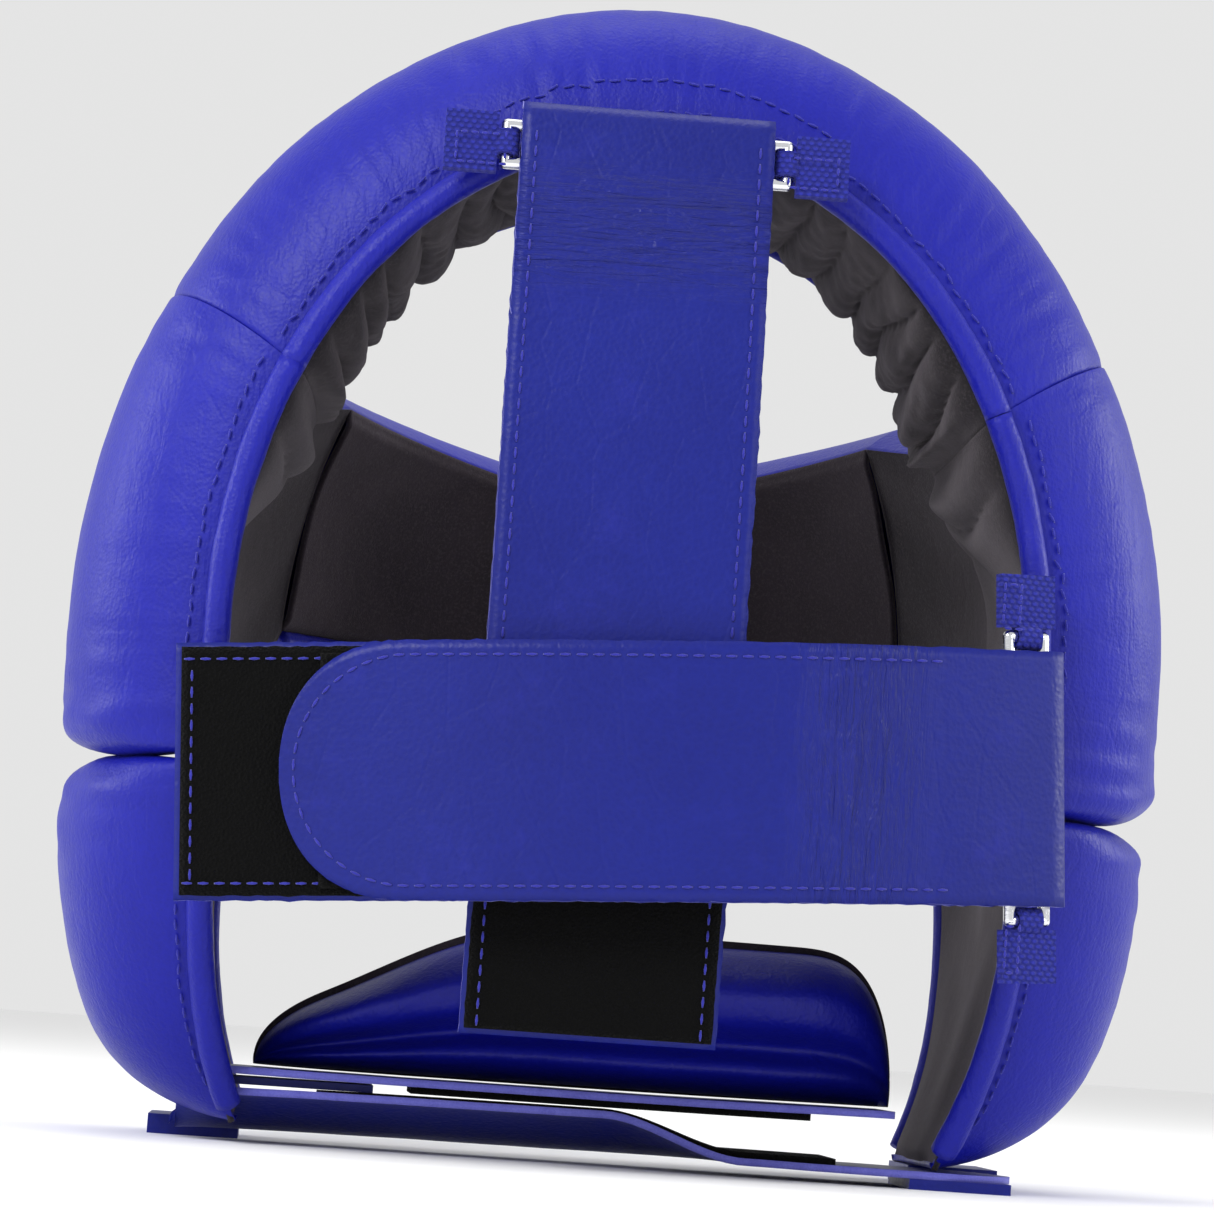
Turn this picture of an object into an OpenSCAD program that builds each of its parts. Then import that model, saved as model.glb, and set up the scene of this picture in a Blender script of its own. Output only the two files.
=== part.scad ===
/* [Head cavity] */
// Half-width between the side pads at ear height
head_half_w = 91; // [84:1:98]
// Depth from the ears forward to the brow pad
head_depth = 97; // [90:1:104]
// Rise of the crown lining above ear height
crown_rise = 108; // [100:1:116]
// Height of the widest line above the table
equator_z = 110; // [104:1:116]

/* [Padding] */
// Thickness of the side pads
side_pad = 28; // [22:1:32]
// Thickness of the brow pad
brow_pad = 30; // [24:1:34]
// Thickness of the crown pad
crown_pad = 33; // [27:1:37]
// Leather cover thickness, as a share of the pad thickness
cover_share = 0.05; // [0.04:0.005:0.06]
// Lining thickness, as a share of the pad thickness
lining_share = 0.04; // [0.03:0.005:0.05]
// Free gap between layers, as a share of the pad thickness
gap_share = 0.01; // [0.008:0.001:0.015]
// Height of the jaw pads' lower edge above the table
jaw_lift = 4.6; // [4.4:0.1:6]
// How much the jaw pads turn in towards the chin
jaw_turn_in = 0.2; // [0.15:0.01:0.25]

/* [Openings] */
// Distance of the pads' rear edge behind the ears
rear_edge = 75.5; // [70:0.5:78]
// Depth of the crown pad in front of the ears
crown_front = 12; // [4:1:20]
// Height of the ear opening above and below the pinch
ear_gap = 13; // [8:1:16]
// Drop of the brow pad's top edge at its centre, in degrees of rise
brow_dip = 8.8; // [4:0.2:11]

/* [Edge rolls] */
// Radius of the rolled rim of the rear opening
rim_r = 3; // [2.4:0.1:3.2]
// Radius of the bound edges
binding_r = 1.8; // [1.4:0.1:2.2]
// Clearance between a roll and its pad
roll_gap = 0.5; // [0.4:0.05:0.6]

/* [Straps] */
// Thickness of strap leather
strap_t = 1.6; // [1.4:0.1:1.8]
// Thickness of loop tape
loop_t = 1.5; // [1.4:0.1:1.6]
// Thickness of hook tape
hook_t = 1.3; // [1.1:0.1:1.4]
// Clearance between the hook tape and the loop tape
grip_gap = 0.3; // [0.2:0.05:0.4]
// Width of the leather straps
strap_w = 53; // [48:1:56]
// Distance that the tapes stand in from the leather edge
tape_inset = 1.5; // [1:0.25:3]
// Slant of the rear strap
rear_slant = 3.7; // [0:0.1:5]
// Height of the rear strap's centre line
rear_strap_z = 82; // [78:1:88]
// Radius of the rear strap's inner face
rear_strap_r = 206; // [202:1:212]
// Radius of the crown strap's inner face
crown_strap_r = 790; // [770:5:820]
// Sideways place of the crown strap
crown_strap_x = -4; // [-8:0.5:4]
// Height of the crown strap's lower tail
tail_z = 27; // [22:1:34]

/* [Rings] */
// Thickness of the ring wire
wire_d = 2.6; // [2.2:0.1:2.8]
// Width of the rings across the wire centres
ring_w = 8.4; // [7:0.2:10]
// Height of the crown ring
crown_ring_z = 212; // [208:1:216]
// Sideways place of the side ring
side_ring_x = 84; // [80:1:88]
// Width of the webbing tabs
tab_w = 13; // [10:0.5:15]
// Length of the webbing tabs
tab_len = 13; // [10:0.5:16]

/* [Chin] */
// Width of the chin straps
chin_w = 36; // [30:1:40]
// Height of the inner chin strap's upper face
chin_strap_z = 16; // [15:0.5:18]
// Place of the inner chin strap's pivot, from the centre line
chin_pivot_x = 60; // [56:1:62]
// Length of the inner chin strap from its pivot to its free end
chin_strap_len = 126; // [118:1:130]
// Place of the outer chin strap's pivot, from the centre line
flap_pivot_x = 76; // [72:1:78]
// Length of the outer chin strap from its pivot to its tip
chin_flap_len = 164; // [150:1:166]
// Length of the chin cup
cup_len = 140; // [130:1:142]
// Height of the chin cup
cup_h = 34; // [28:1:36]
// Thickness of the chin cup
cup_t = 24; // [18:1:26]
// Distance of the chin straps' centre line behind the ears
chin_back = 30; // [26:1:34]

/* [Hidden] */
$fn = 96;

leather = [0.08, 0.14, 0.62];
suede = [0.2, 0.19, 0.2];
foam = [0.85, 0.85, 0.8];
tape = [0.05, 0.05, 0.06];
chrome = [0.8, 0.8, 0.82];
webbing = [0.1, 0.15, 0.55];

// Plan angles are degrees forward of the ear; behind it each degree is this many millimetres
back_step = 1.5;
rear_a = -rear_edge / back_step;
side_a = 36;
seam_a = 0.15;
seam_rise = 30;
pinch_drop = 28;
pinch_gap = 3;
face_rise = 4;
ear_a = -8;
ear_half = 13;
jaw_rear_low = 34;
jaw_front_a = 24;
jaw_front_low = 10;
rear_tuck = 0.06;
tuck_start = 20;
tuck_span = 32;
cover_wall = 0.018;
core_inset = 0.046;
core_min = 0.03;
seam_depth = 0.93;
end_gap = 0.3;
hinge_gap = 1.2;
arc_steps = 36;
glue_gap = 0.05;
fold_steps = 8;
far = 400;

// ---- Surfaces -------------------------------------------------------------------

function mix(a, b, t) = a + (b - a) * t;
function clamp01(t) = max(0, min(1, t));
function unit(v) = v / norm(v);
function knots(n) = [for (i = [0:n]) 0.5 - 0.5 * cos(180 * i / n)];

function half_w(t) = head_half_w + side_pad * t;
function reach(t) = head_depth + brow_pad * t;
function rise(t) = crown_rise + crown_pad * t;
function turn_in(v) = 1 - jaw_turn_in * pow(-v / equator_z, 3.5);
function tuck(a) = 1 - rear_tuck * pow(clamp01((-a - tuck_start) / tuck_span), 2);

// Point at plan angle a; v is degrees above the widest line or millimetres below it;
// t runs from the inner face, 0, to the outer face, 1
function raw_point(a, v, t) =
    let (
        k = v > 0 ? cos(v) : turn_in(v),
        x = half_w(t) * k * (a > 0 ? cos(a) : tuck(a)),
        y = a > 0 ? reach(t) * k * sin(a) : a * back_step,
        z = equator_z + (v > 0 ? rise(t) * sin(v) : v)
    ) [x, y, z];

// The crown runs across the head, so its depth does not shrink with its rise
function crown_raw(y, v, t) =
    [half_w(t) * cos(v) * tuck(y / back_step), y, equator_z + rise(t) * sin(v)];

// Share of the full thickness at s across a pad, with the share kept at each edge
function swell(s, e0, e1) =
    let (e = s < 0.5 ? e0 : e1)
    e + (1 - e) * sqrt(1 - pow(abs(2 * s - 1), 4));

// ---- Pad outlines ---------------------------------------------------------------

function ear_bump(a) = exp(-pow((a - ear_a) / ear_half, 2));
function temple_low(a) = -pinch_drop + ear_gap * ear_bump(a)
    + (pinch_drop + face_rise) * pow(clamp01(a / side_a), 1.5);
function temple_high(a) = seam_rise - seam_a + face_rise * clamp01(a / side_a);
function jaw_top(a) = -pinch_drop - pinch_gap - ear_gap * ear_bump(a);
function jaw_low() = jaw_lift - equator_z;
function jaw_drop(v) = clamp01((-v - pinch_drop) / (equator_z - pinch_drop));
function jaw_rear(v) = rear_a + jaw_rear_low / back_step * pow(jaw_drop(v), 1.6);
function jaw_front(v) = mix(jaw_front_a, jaw_front_low, jaw_drop(v));

function crown_at(s, q, t) =
    crown_raw(mix(-rear_edge, crown_front, s), mix(seam_rise, 180 - seam_rise, q), t);
function forehead_at(s, q, t) =
    let (
        a = mix(side_a + seam_a, 180 - side_a - seam_a, s),
        top = seam_rise + face_rise - brow_dip * (1 - abs(cos(a)) / cos(side_a)),
        p = raw_point(a, mix(face_rise, top, q), t)
    ) p;
function temple_at(s, q, t) =
    let (a = mix(rear_a, side_a - seam_a, s)) raw_point(a, mix(temple_low(a), temple_high(a), q), t);
function jaw_at(s, q, t) =
    let (
        v0 = mix(jaw_low(), -pinch_drop - pinch_gap, q),
        a = mix(jaw_rear(v0), jaw_front(v0), s),
        v = mix(jaw_low(), jaw_top(a), q)
    ) raw_point(a, v, t);

// Centre of the whole part, from its front and rear faces
front_y = max([for (s = knots(12)) for (q = knots(8))
    forehead_at(s, q, swell(s, seam_depth, seam_depth) * swell(q, 0, 0))[1]]);
stack_t = 2 * strap_t + loop_t + hook_t + grip_gap;
// Rear faces of the rolled rim and of the crown strap's inner leather, before centring
rim_back_y = rear_edge + roll_gap + 2 * rim_r;
ring_room = 11;
crown_back_y = rim_back_y + ring_room;
strap_bow = rear_strap_r - sqrt(pow(rear_strap_r, 2) - pow(strap_w / 2 - crown_strap_x, 2));
rim_reach_x = 88;
rim_bow = rear_strap_r - sqrt(pow(rear_strap_r, 2) - pow(rim_reach_x, 2));
rear_inner_y = max(crown_back_y + stack_t + end_gap + strap_bow, rim_back_y + rim_bow);
rear_y = rear_inner_y + stack_t;
shift_y = (rear_y - front_y) / 2;

// ---- Solids ---------------------------------------------------------------------

// Closed solid between two grids of points
module slab(upper, lower) {
    nu = len(upper) - 1;
    nv = len(upper[0]) - 1;
    row = nv + 1;
    off = (nu + 1) * row;
    points = concat([for (r = upper) each r], [for (r = lower) each r]);
    function tri(a, b, c, d) = [[a, b, c], [a, c, d]];
    faces = [
        for (i = [0:nu - 1]) for (j = [0:nv - 1])
            let (a = i * row + j)
            each concat(tri(a, a + row, a + row + 1, a + 1),
                tri(off + a, off + a + 1, off + a + row + 1, off + a + row)),
        for (i = [0:nu - 1])
            let (a = i * row, b = i * row + nv)
            each concat(tri(a, off + a, off + a + row, a + row),
                tri(b, b + row, off + b + row, off + b)),
        for (j = [0:nv - 1])
            let (a = j, b = nu * row + j)
            each concat(tri(a, a + 1, off + a + 1, off + a),
                tri(b, off + b, off + b + 1, b + 1))
    ];
    polyhedron(points, faces);
}

// One layer of a pad: part 0 is the cover, 1 the foam and 2 the lining.
// edges holds the thickness kept at the rear, front, lower and upper edge.
module pad_layer(at, part, edges, nu, nv) {
    inset = part == 0 ? 0 : core_inset;
    base = lining_share + gap_share;
    function grid(inset, lift, least) = [
        for (s = knots(nu)) [
            for (q = knots(nv))
                let (full = swell(s, edges[0], edges[1]) * swell(q, edges[2], edges[3]))
                at(mix(inset, 1 - inset, s), mix(inset, 1 - inset, q), max(least, full - lift))
        ]
    ];
    function flat(inset, t) =
        [for (s = knots(nu)) [for (q = knots(nv)) at(mix(inset, 1 - inset, s), mix(inset, 1 - inset, q), t)]];
    upper = part == 0 ? grid(0, 0, 0)
        : part == 1 ? grid(inset, cover_share + gap_share, base + core_min)
        : flat(inset, lining_share);
    lower = part == 0 ? grid(cover_wall, cover_share, 0)
        : part == 1 ? flat(inset, base)
        : flat(inset, 0);
    color(part == 0 ? leather : part == 1 ? foam : suede) translate([0, shift_y, 0]) slab(upper, lower);
}

// Roll of leather along a path
module roll(path, r) {
    n = len(path);
    sides = 8;
    points = [
        for (i = [0:n - 1])
            let (
                along = unit(path[min(i + 1, n - 1)] - path[max(i - 1, 0)]),
                side = unit(cross(along, [0, 1, 0])),
                up = cross(side, along)
            )
            for (k = [0:sides - 1])
                path[i] + r * (cos(360 * k / sides) * side + sin(360 * k / sides) * up)
    ];
    skin = [
        for (i = [0:n - 2]) for (k = [0:sides - 1])
            let (a = i * sides + k, b = i * sides + (k + 1) % sides)
            each [[a, b, b + sides], [a, b + sides, a + sides]]
    ];
    ends = [[for (k = [0:sides - 1]) sides - 1 - k], [for (k = [0:sides - 1]) (n - 1) * sides + k]];
    color(leather) translate([0, shift_y, 0]) polyhedron(points, concat(skin, ends));
}

// Rectangular wire ring in the XY plane with its long side along X
module wire_ring(length) {
    x = length / 2;
    y = ring_w / 2;
    color(chrome) union() {
        for (s = [-1, 1]) {
            translate([0, s * y, 0]) rotate([0, 90, 0]) cylinder(d = wire_d, h = 2 * x, center = true);
            translate([s * x, 0, 0]) rotate([90, 0, 0]) cylinder(d = wire_d, h = 2 * y, center = true);
            for (k = [-1, 1]) translate([s * x, k * y, 0]) sphere(d = wire_d);
        }
    }
}

// Webbing tongue along +X with an eye round the ring's short wire at the origin;
// it is gathered where it passes inside the ring
module web_tab() {
    eye = wire_d / 2 + 0.2;
    wall = 1.2;
    color(webbing) rotate([90, 0, 0]) union() {
        linear_extrude(ring_w - wire_d - 2 * end_gap, center = true) difference() {
            union() {
                circle(eye + wall);
                translate([0, -wall]) square([tab_len, 2 * wall]);
            }
            circle(eye);
        }
        linear_extrude(tab_w, center = true)
            translate([eye + 0.4, -wall]) square([tab_len - eye - 0.4, 2 * wall]);
    }
}

// ---- Strap frames ---------------------------------------------------------------

// Rear strap: arcs round a vertical axis, then straight to the left beyond this angle
straight_a = -11.5;
rear_left_x = 95;
rear_centre_y = shift_y - rear_inner_y + rear_strap_r;
ring_mid = strap_t + (loop_t + hook_t + grip_gap) / 2;
ring_len = strap_w + 6;
fold_reach = ring_w / 2 + wire_d / 2 + end_gap;
hinge_reach = fold_reach + 4;
loop_reach = hinge_reach + 1.4;
hook_reach = hinge_reach + 4.3;
function arc_of(run, r) = asin(run / (r + ring_mid));
side_ring_a = arc_of(side_ring_x, rear_strap_r);
rear_fold_a = side_ring_a + arc_of(fold_reach, rear_strap_r);
rear_hinge_a = side_ring_a - arc_of(hinge_reach, rear_strap_r);
rear_tip_x = 70;

// Plan of one rear strap layer, from depth r0 to r1 outside the inner face: its arc, up to angle a1
module rear_arc(r0, r1, a1) {
    intersection() {
        difference() {
            circle(rear_strap_r + r1, $fn = 180);
            circle(rear_strap_r + r0, $fn = 180);
        }
        polygon([[0, 0], [far * sin(straight_a), -far * cos(straight_a)], [0, -far],
            [far * sin(a1), -far * cos(a1)]]);
    }
}

// Its straight run, up to left_x from the centre line
function straight_run(left_x) = (left_x - rear_strap_r * sin(-straight_a)) / cos(straight_a);
module rear_bar(r0, r1, left_x) {
    run = straight_run(left_x);
    rotate(straight_a) translate([-run, -rear_strap_r - r1]) square([run + 0.01, r1 - r0]);
}

module rear_frame() {
    translate([0, rear_centre_y, rear_strap_z]) rotate([0, -rear_slant, 0]) children();
}

module rear_band(r0, r1, a1, left_x, width) {
    linear_extrude(width, center = true) {
        rear_arc(r0, r1, a1);
        rear_bar(r0, r1, left_x);
    }
}

// Outline of a strip of even thickness along a path
function strip_outline(path, t) =
    let (
        n = len(path),
        side = [for (i = [0:n - 1])
            let (d = unit(path[min(i + 1, n - 1)] - path[max(i - 1, 0)])) [-d[1], d[0]] * t / 2]
    )
    concat([for (i = [0:n - 1]) path[i] + side[i]], [for (i = [n - 1:-1:0]) path[i] - side[i]]);

// Middle of a strap from angle a0 to its fold, round its ring, and back to angle a1
function folded_path(r, a0, fold_a, a1) =
    let (
        low = r + strap_t / 2,
        high = r + flap_low + strap_t / 2,
        turn = (high - low) / 2,
        centre = (r + ring_mid) * [cos(fold_a), sin(fold_a)]
    )
    concat(
        [for (i = [0:arc_steps]) let (a = mix(a0, fold_a, i / arc_steps)) low * [cos(a), sin(a)]],
        [for (i = [1:fold_steps - 1])
            let (a = fold_a + 180 - 180 * i / fold_steps) centre + turn * [cos(a), sin(a)]],
        [for (i = [0:2]) let (a = mix(fold_a, a1, i / 2)) high * [cos(a), sin(a)]]
    );

// Crown strap: arcs round an axis across the head, at this height
crown_mid_z = 90;
crown_centre_y = shift_y - crown_back_y + crown_strap_r;
crown_ring_a = arc_of(crown_ring_z - crown_mid_z, crown_strap_r);
crown_fold_a = crown_ring_a + arc_of(fold_reach, crown_strap_r);
crown_hinge_a = crown_ring_a - arc_of(hinge_reach, crown_strap_r);
crown_tail_a = asin((tail_z - crown_mid_z) / crown_strap_r);
tip_cover = 12;
crown_tip_a = asin((rear_strap_z - tip_cover - crown_mid_z) / crown_strap_r);
crown_hook_a = 4.5;

// Side view frame: local X points backwards, local Y upwards and local Z to the left
module crown_frame() {
    translate([crown_strap_x, crown_centre_y, crown_mid_z])
        multmatrix([[0, 0, -1, 0], [-1, 0, 0, 0], [0, 1, 0, 0], [0, 0, 0, 1]]) children();
}

module crown_band(r0, r1, a0, a1, width) {
    crown_frame() linear_extrude(width, center = true) intersection() {
        difference() {
            circle(crown_strap_r + r1, $fn = 360);
            circle(crown_strap_r + r0, $fn = 360);
        }
        polygon([[0, 0], 2 * far * [cos(a0), sin(a0)], 2 * far * [cos(a1), sin(a1)]]);
    }
}

tape_w = strap_w - 2 * tape_inset;
loop_top = strap_t + loop_t;
hook_low = loop_top + grip_gap;
flap_low = hook_low + hook_t;
flap_top = flap_low + strap_t;

// ---- Pads -----------------------------------------------------------------------

side_edges = [0, seam_depth, 0, seam_depth];
crown_edges = [0, 0, seam_depth, seam_depth];
brow_edges = [seam_depth, seam_depth, 0, 0];
jaw_edges = [0, 0, 0, 0];

module crown_pad_layer(part) pad_layer(function(s, q, t) crown_at(s, q, t), part, crown_edges, 10, 18);
module forehead_layer(part)
    pad_layer(function(s, q, t) forehead_at(s, 1 - q, t), part, brow_edges, 14, 8);
module temple_layer(part) pad_layer(function(s, q, t) temple_at(s, q, t), part, side_edges, 14, 10);
module jaw_layer(part) pad_layer(function(s, q, t) jaw_at(s, q, t), part, jaw_edges, 12, 10);

module crown_cover() crown_pad_layer(0);
module crown_foam() crown_pad_layer(1);
module crown_lining() crown_pad_layer(2);
module forehead_cover() forehead_layer(0);
module forehead_foam() forehead_layer(1);
module forehead_lining() forehead_layer(2);
module right_temple_cover() temple_layer(0);
module right_temple_foam() temple_layer(1);
module right_temple_lining() temple_layer(2);
module left_temple_cover() mirror([1, 0, 0]) temple_layer(0);
module left_temple_foam() mirror([1, 0, 0]) temple_layer(1);
module left_temple_lining() mirror([1, 0, 0]) temple_layer(2);
module right_jaw_cover() jaw_layer(0);
module right_jaw_foam() jaw_layer(1);
module right_jaw_lining() jaw_layer(2);
module left_jaw_cover() mirror([1, 0, 0]) jaw_layer(0);
module left_jaw_foam() mirror([1, 0, 0]) jaw_layer(1);
module left_jaw_lining() mirror([1, 0, 0]) jaw_layer(2);

// ---- Rolled and bound edges -----------------------------------------------------

rim_off = [0, -rim_r - roll_gap, 0];
jaw_v = jaw_low() + 4;
module crown_rim() {
    steps = 24;
    roll([
        for (i = [0:steps])
            crown_raw(-rear_edge, mix(seam_rise, 180 - seam_rise, i / steps), 0) + rim_off
    ], rim_r);
}
module right_rim() {
    temple = [for (i = [0:8]) raw_point(rear_a, mix(seam_rise - 0.6, 2, i / 8), 0) + rim_off];
    jaw = [for (i = [0:14]) let (v = mix(-3, jaw_v, i / 14)) raw_point(jaw_rear(v), v, 0) + rim_off];
    roll(concat(temple, jaw), rim_r);
}
module left_rim() mirror([1, 0, 0]) right_rim();
module crown_front_binding() {
    off = [0, binding_r + roll_gap, 0];
    roll([for (i = [0:20]) crown_raw(crown_front, mix(seam_rise + 6, 174 - seam_rise, i / 20), 0) + off],
        binding_r);
}
module brow_binding() {
    off = [0, 0, -binding_r - roll_gap];
    roll([for (i = [0:16]) raw_point(mix(side_a + 2, 178 - side_a, i / 16), face_rise, 0) + off], binding_r);
}
module right_face_binding() {
    off = [0, binding_r + roll_gap + 0.4, 0];
    roll([for (i = [0:10])
        let (v = mix(-pinch_drop - pinch_gap - 4, jaw_v, i / 10)) raw_point(jaw_front(v), v, 0) + off],
        binding_r);
}
module left_face_binding() mirror([1, 0, 0]) right_face_binding();

// ---- Rings and webbing ----------------------------------------------------------

module at_crown_ring() {
    crown_frame() rotate(crown_ring_a) translate([crown_strap_r + ring_mid, 0, 0]) rotate([0, 90, 0])
        children();
}
module at_side_ring() {
    rear_frame() rotate(side_ring_a) translate([0, -rear_strap_r - ring_mid, 0]) rotate([90, -90, 0])
        children();
}
module crown_ring() at_crown_ring() wire_ring(ring_len);
module side_ring() at_side_ring() wire_ring(ring_len);
module crown_tab_right() at_crown_ring() translate([ring_len / 2, 0, 0]) web_tab();
module crown_tab_left() at_crown_ring() translate([-ring_len / 2, 0, 0]) mirror([1, 0, 0]) web_tab();
module side_tab_upper() at_side_ring() translate([ring_len / 2, 0, 0]) web_tab();
module side_tab_lower() at_side_ring() translate([-ring_len / 2, 0, 0]) mirror([1, 0, 0]) web_tab();

// ---- Rear strap -----------------------------------------------------------------

module rear_strap_base() {
    arc = folded_path(rear_strap_r, straight_a, rear_fold_a,
        rear_hinge_a + arc_of(hinge_gap, rear_strap_r));
    left = arc[0] + straight_run(rear_left_x) * [sin(straight_a), -cos(straight_a)];
    color(leather) rear_frame() linear_extrude(strap_w, center = true)
        rotate(-90) polygon(strip_outline(concat([left], arc), strap_t));
}
module rear_loop_tape() {
    color(tape) rear_frame() rear_band(strap_t + glue_gap, loop_top,
        side_ring_a - arc_of(loop_reach, rear_strap_r), rear_left_x - tape_inset, tape_w);
}
module rear_flap() {
    tip_r = strap_w / 2;
    color(leather) rear_frame() union() {
        intersection() {
            rear_band(flap_low, flap_top, rear_hinge_a, rear_left_x, strap_w);
            translate([tip_r - rear_tip_x, -far, -strap_w]) cube([far, far, 2 * strap_w]);
        }
        intersection() {
            linear_extrude(2 * strap_w, center = true) rear_bar(flap_low, flap_top, rear_left_x);
            translate([tip_r - rear_tip_x, 0, 0]) rotate([90, 0, 0]) cylinder(r = tip_r, h = far);
        }
    }
}
module rear_hook_tape() {
    color(tape) rear_frame() intersection() {
        rear_band(hook_low, flap_low - glue_gap, side_ring_a - arc_of(hook_reach, rear_strap_r), rear_left_x,
            tape_w);
        translate([-rear_tip_x + 8, -far, -far]) cube([rear_tip_x + 28, 2 * far, 2 * far]);
    }
}

// ---- Crown strap ----------------------------------------------------------------

module crown_strap_base() {
    color(leather) crown_frame() linear_extrude(strap_w, center = true)
        polygon(strip_outline(folded_path(crown_strap_r, crown_tail_a, crown_fold_a,
            crown_hinge_a + arc_of(end_gap, crown_strap_r)), strap_t));
}
module crown_loop_tape() {
    color(tape) crown_band(strap_t + glue_gap, loop_top, crown_tail_a + 0.1,
        crown_ring_a - arc_of(loop_reach, crown_strap_r), tape_w);
}
module crown_flap() {
    color(leather) crown_band(flap_low, flap_top, crown_tip_a, crown_hinge_a, strap_w);
}
module crown_hook_tape() {
    color(tape) crown_band(hook_low, flap_low - glue_gap, crown_tip_a + 0.2, crown_hook_a, tape_w);
}

// ---- Chin -----------------------------------------------------------------------

chin_y = shift_y - chin_back;
chin_leather_z = chin_strap_z - strap_t;
flap_z = jaw_lift - 0.4 - strap_t;
cup_z = chin_strap_z + 0.3;
cup_x = -2;

// Strap outline with a round end on its pivot and a round tip
module strap_outline(length, w) {
    circle(w / 2);
    translate([0, -w / 2]) square([length - w / 2, w]);
    translate([length - w / 2, 0]) circle(w / 2);
}
module chin_strap() {
    color(leather) translate([-chin_pivot_x, chin_y, chin_leather_z]) linear_extrude(strap_t)
        strap_outline(chin_strap_len, chin_w);
}
module chin_loop_tape() {
    color(tape) translate([-chin_pivot_x + 22, chin_y - chin_w / 2 + tape_inset, chin_leather_z - loop_t])
        cube([chin_strap_len - 22 - chin_w / 2, chin_w - 2 * tape_inset, loop_t]);
}
module chin_flap() {
    color(leather) translate([flap_pivot_x, chin_y, flap_z]) linear_extrude(strap_t) mirror([1, 0])
        strap_outline(chin_flap_len, chin_w);
}
module chin_hook_tape() {
    color(tape) translate([-58, chin_y - chin_w / 2 + tape_inset, flap_z + strap_t])
        cube([flap_pivot_x + 58 - 22, chin_w - 2 * tape_inset, hook_t]);
}

// The cup's inner face looks up and forward; its padding swells down and back
function cup_at(s, q, t) =
    let (
        u = 2 * s - 1,
        bow = 10 * u * u,
        x = cup_x + cup_len / 2 * u,
        h = cup_z + 0.5 + (cup_h - 1) * q * (1 - 0.25 * pow(abs(u), 3)),
        y = -chin_back + cup_t / 2 - 2 + bow * 0.3 - cup_t * t
    ) [x, y, h];
module cup_layer(part) pad_layer(function(s, q, t) cup_at(s, 1 - q, t), part, jaw_edges, 14, 8);
module chin_cup_cover() cup_layer(0);
module chin_cup_foam() cup_layer(1);
module chin_cup_lining() cup_layer(2);

// Sewn leather at the lower corners; the patches' undersides rest on the table
patch_w = 20;
patch_len = 34;
patch_x = half_w(0) * turn_in(jaw_low()) - 1;
tongue_z = chin_leather_z - end_gap - strap_t;
tongue_x = half_w(0) * turn_in(tongue_z - equator_z) * tuck(-chin_back / back_step) - end_gap;
module left_corner_tab() {
    color(leather) translate([-tongue_x, chin_y - chin_w / 2 + 5, tongue_z])
        cube([tongue_x - chin_pivot_x + 14, chin_w - 10, strap_t]);
}
module right_corner_tab() {
    color(leather) translate([flap_pivot_x - 6, chin_y - chin_w / 2, 0])
        cube([patch_w + 2, chin_w, flap_z - end_gap]);
}
module right_base_patch() {
    color(leather) translate([patch_x, chin_y + chin_w / 2 + 1, 0])
        cube([patch_w, patch_len, jaw_lift - end_gap]);
}
module left_base_patch() mirror([1, 0, 0]) right_base_patch();

crown_cover();
crown_foam();
crown_lining();
forehead_cover();
forehead_foam();
forehead_lining();
left_temple_cover();
left_temple_foam();
left_temple_lining();
right_temple_cover();
right_temple_foam();
right_temple_lining();
left_jaw_cover();
left_jaw_foam();
left_jaw_lining();
right_jaw_cover();
right_jaw_foam();
right_jaw_lining();
crown_rim();
left_rim();
right_rim();
crown_front_binding();
brow_binding();
left_face_binding();
right_face_binding();
crown_ring();
side_ring();
crown_tab_left();
crown_tab_right();
side_tab_upper();
side_tab_lower();
rear_strap_base();
rear_loop_tape();
rear_flap();
rear_hook_tape();
crown_strap_base();
crown_loop_tape();
crown_flap();
crown_hook_tape();
chin_strap();
chin_loop_tape();
chin_cup_cover();
chin_cup_foam();
chin_cup_lining();
chin_flap();
chin_hook_tape();
left_corner_tab();
right_corner_tab();
left_base_patch();
right_base_patch();
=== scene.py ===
"""Boxing headgear: padded leather shell, suede lining, ringed straps and a chin cup."""

import functools
import logging
import math
from dataclasses import dataclass, field
from enum import Enum
from typing import Callable, Sequence

import bmesh
import bpy
from mathutils import Matrix, Vector, noise


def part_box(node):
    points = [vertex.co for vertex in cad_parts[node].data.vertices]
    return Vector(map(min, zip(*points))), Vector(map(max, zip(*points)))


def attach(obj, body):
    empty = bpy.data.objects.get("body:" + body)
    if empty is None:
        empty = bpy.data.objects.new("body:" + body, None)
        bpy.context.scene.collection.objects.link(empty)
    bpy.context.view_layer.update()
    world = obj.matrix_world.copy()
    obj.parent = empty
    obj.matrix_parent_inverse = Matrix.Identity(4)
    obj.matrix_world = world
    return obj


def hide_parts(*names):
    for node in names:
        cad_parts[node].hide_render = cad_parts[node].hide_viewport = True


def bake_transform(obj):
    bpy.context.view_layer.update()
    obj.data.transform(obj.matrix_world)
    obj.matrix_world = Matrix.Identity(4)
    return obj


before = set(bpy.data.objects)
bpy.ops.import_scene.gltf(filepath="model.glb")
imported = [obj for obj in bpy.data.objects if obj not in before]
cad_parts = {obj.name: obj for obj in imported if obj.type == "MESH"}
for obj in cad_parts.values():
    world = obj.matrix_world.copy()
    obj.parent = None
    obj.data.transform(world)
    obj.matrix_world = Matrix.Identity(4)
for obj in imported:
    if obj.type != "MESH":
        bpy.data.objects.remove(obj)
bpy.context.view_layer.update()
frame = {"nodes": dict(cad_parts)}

log = logging.getLogger("headgear")
MM = 0.001
SHELL = "shell"
REAR_END = "rear_strap_end"
CUP_STRAP = "chin_cup_strap"
CHIN_END = "chin_strap_end"

Surface = Callable[[float, float], Vector]


# ---- Shader building ---------------------------------------------------------------


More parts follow.
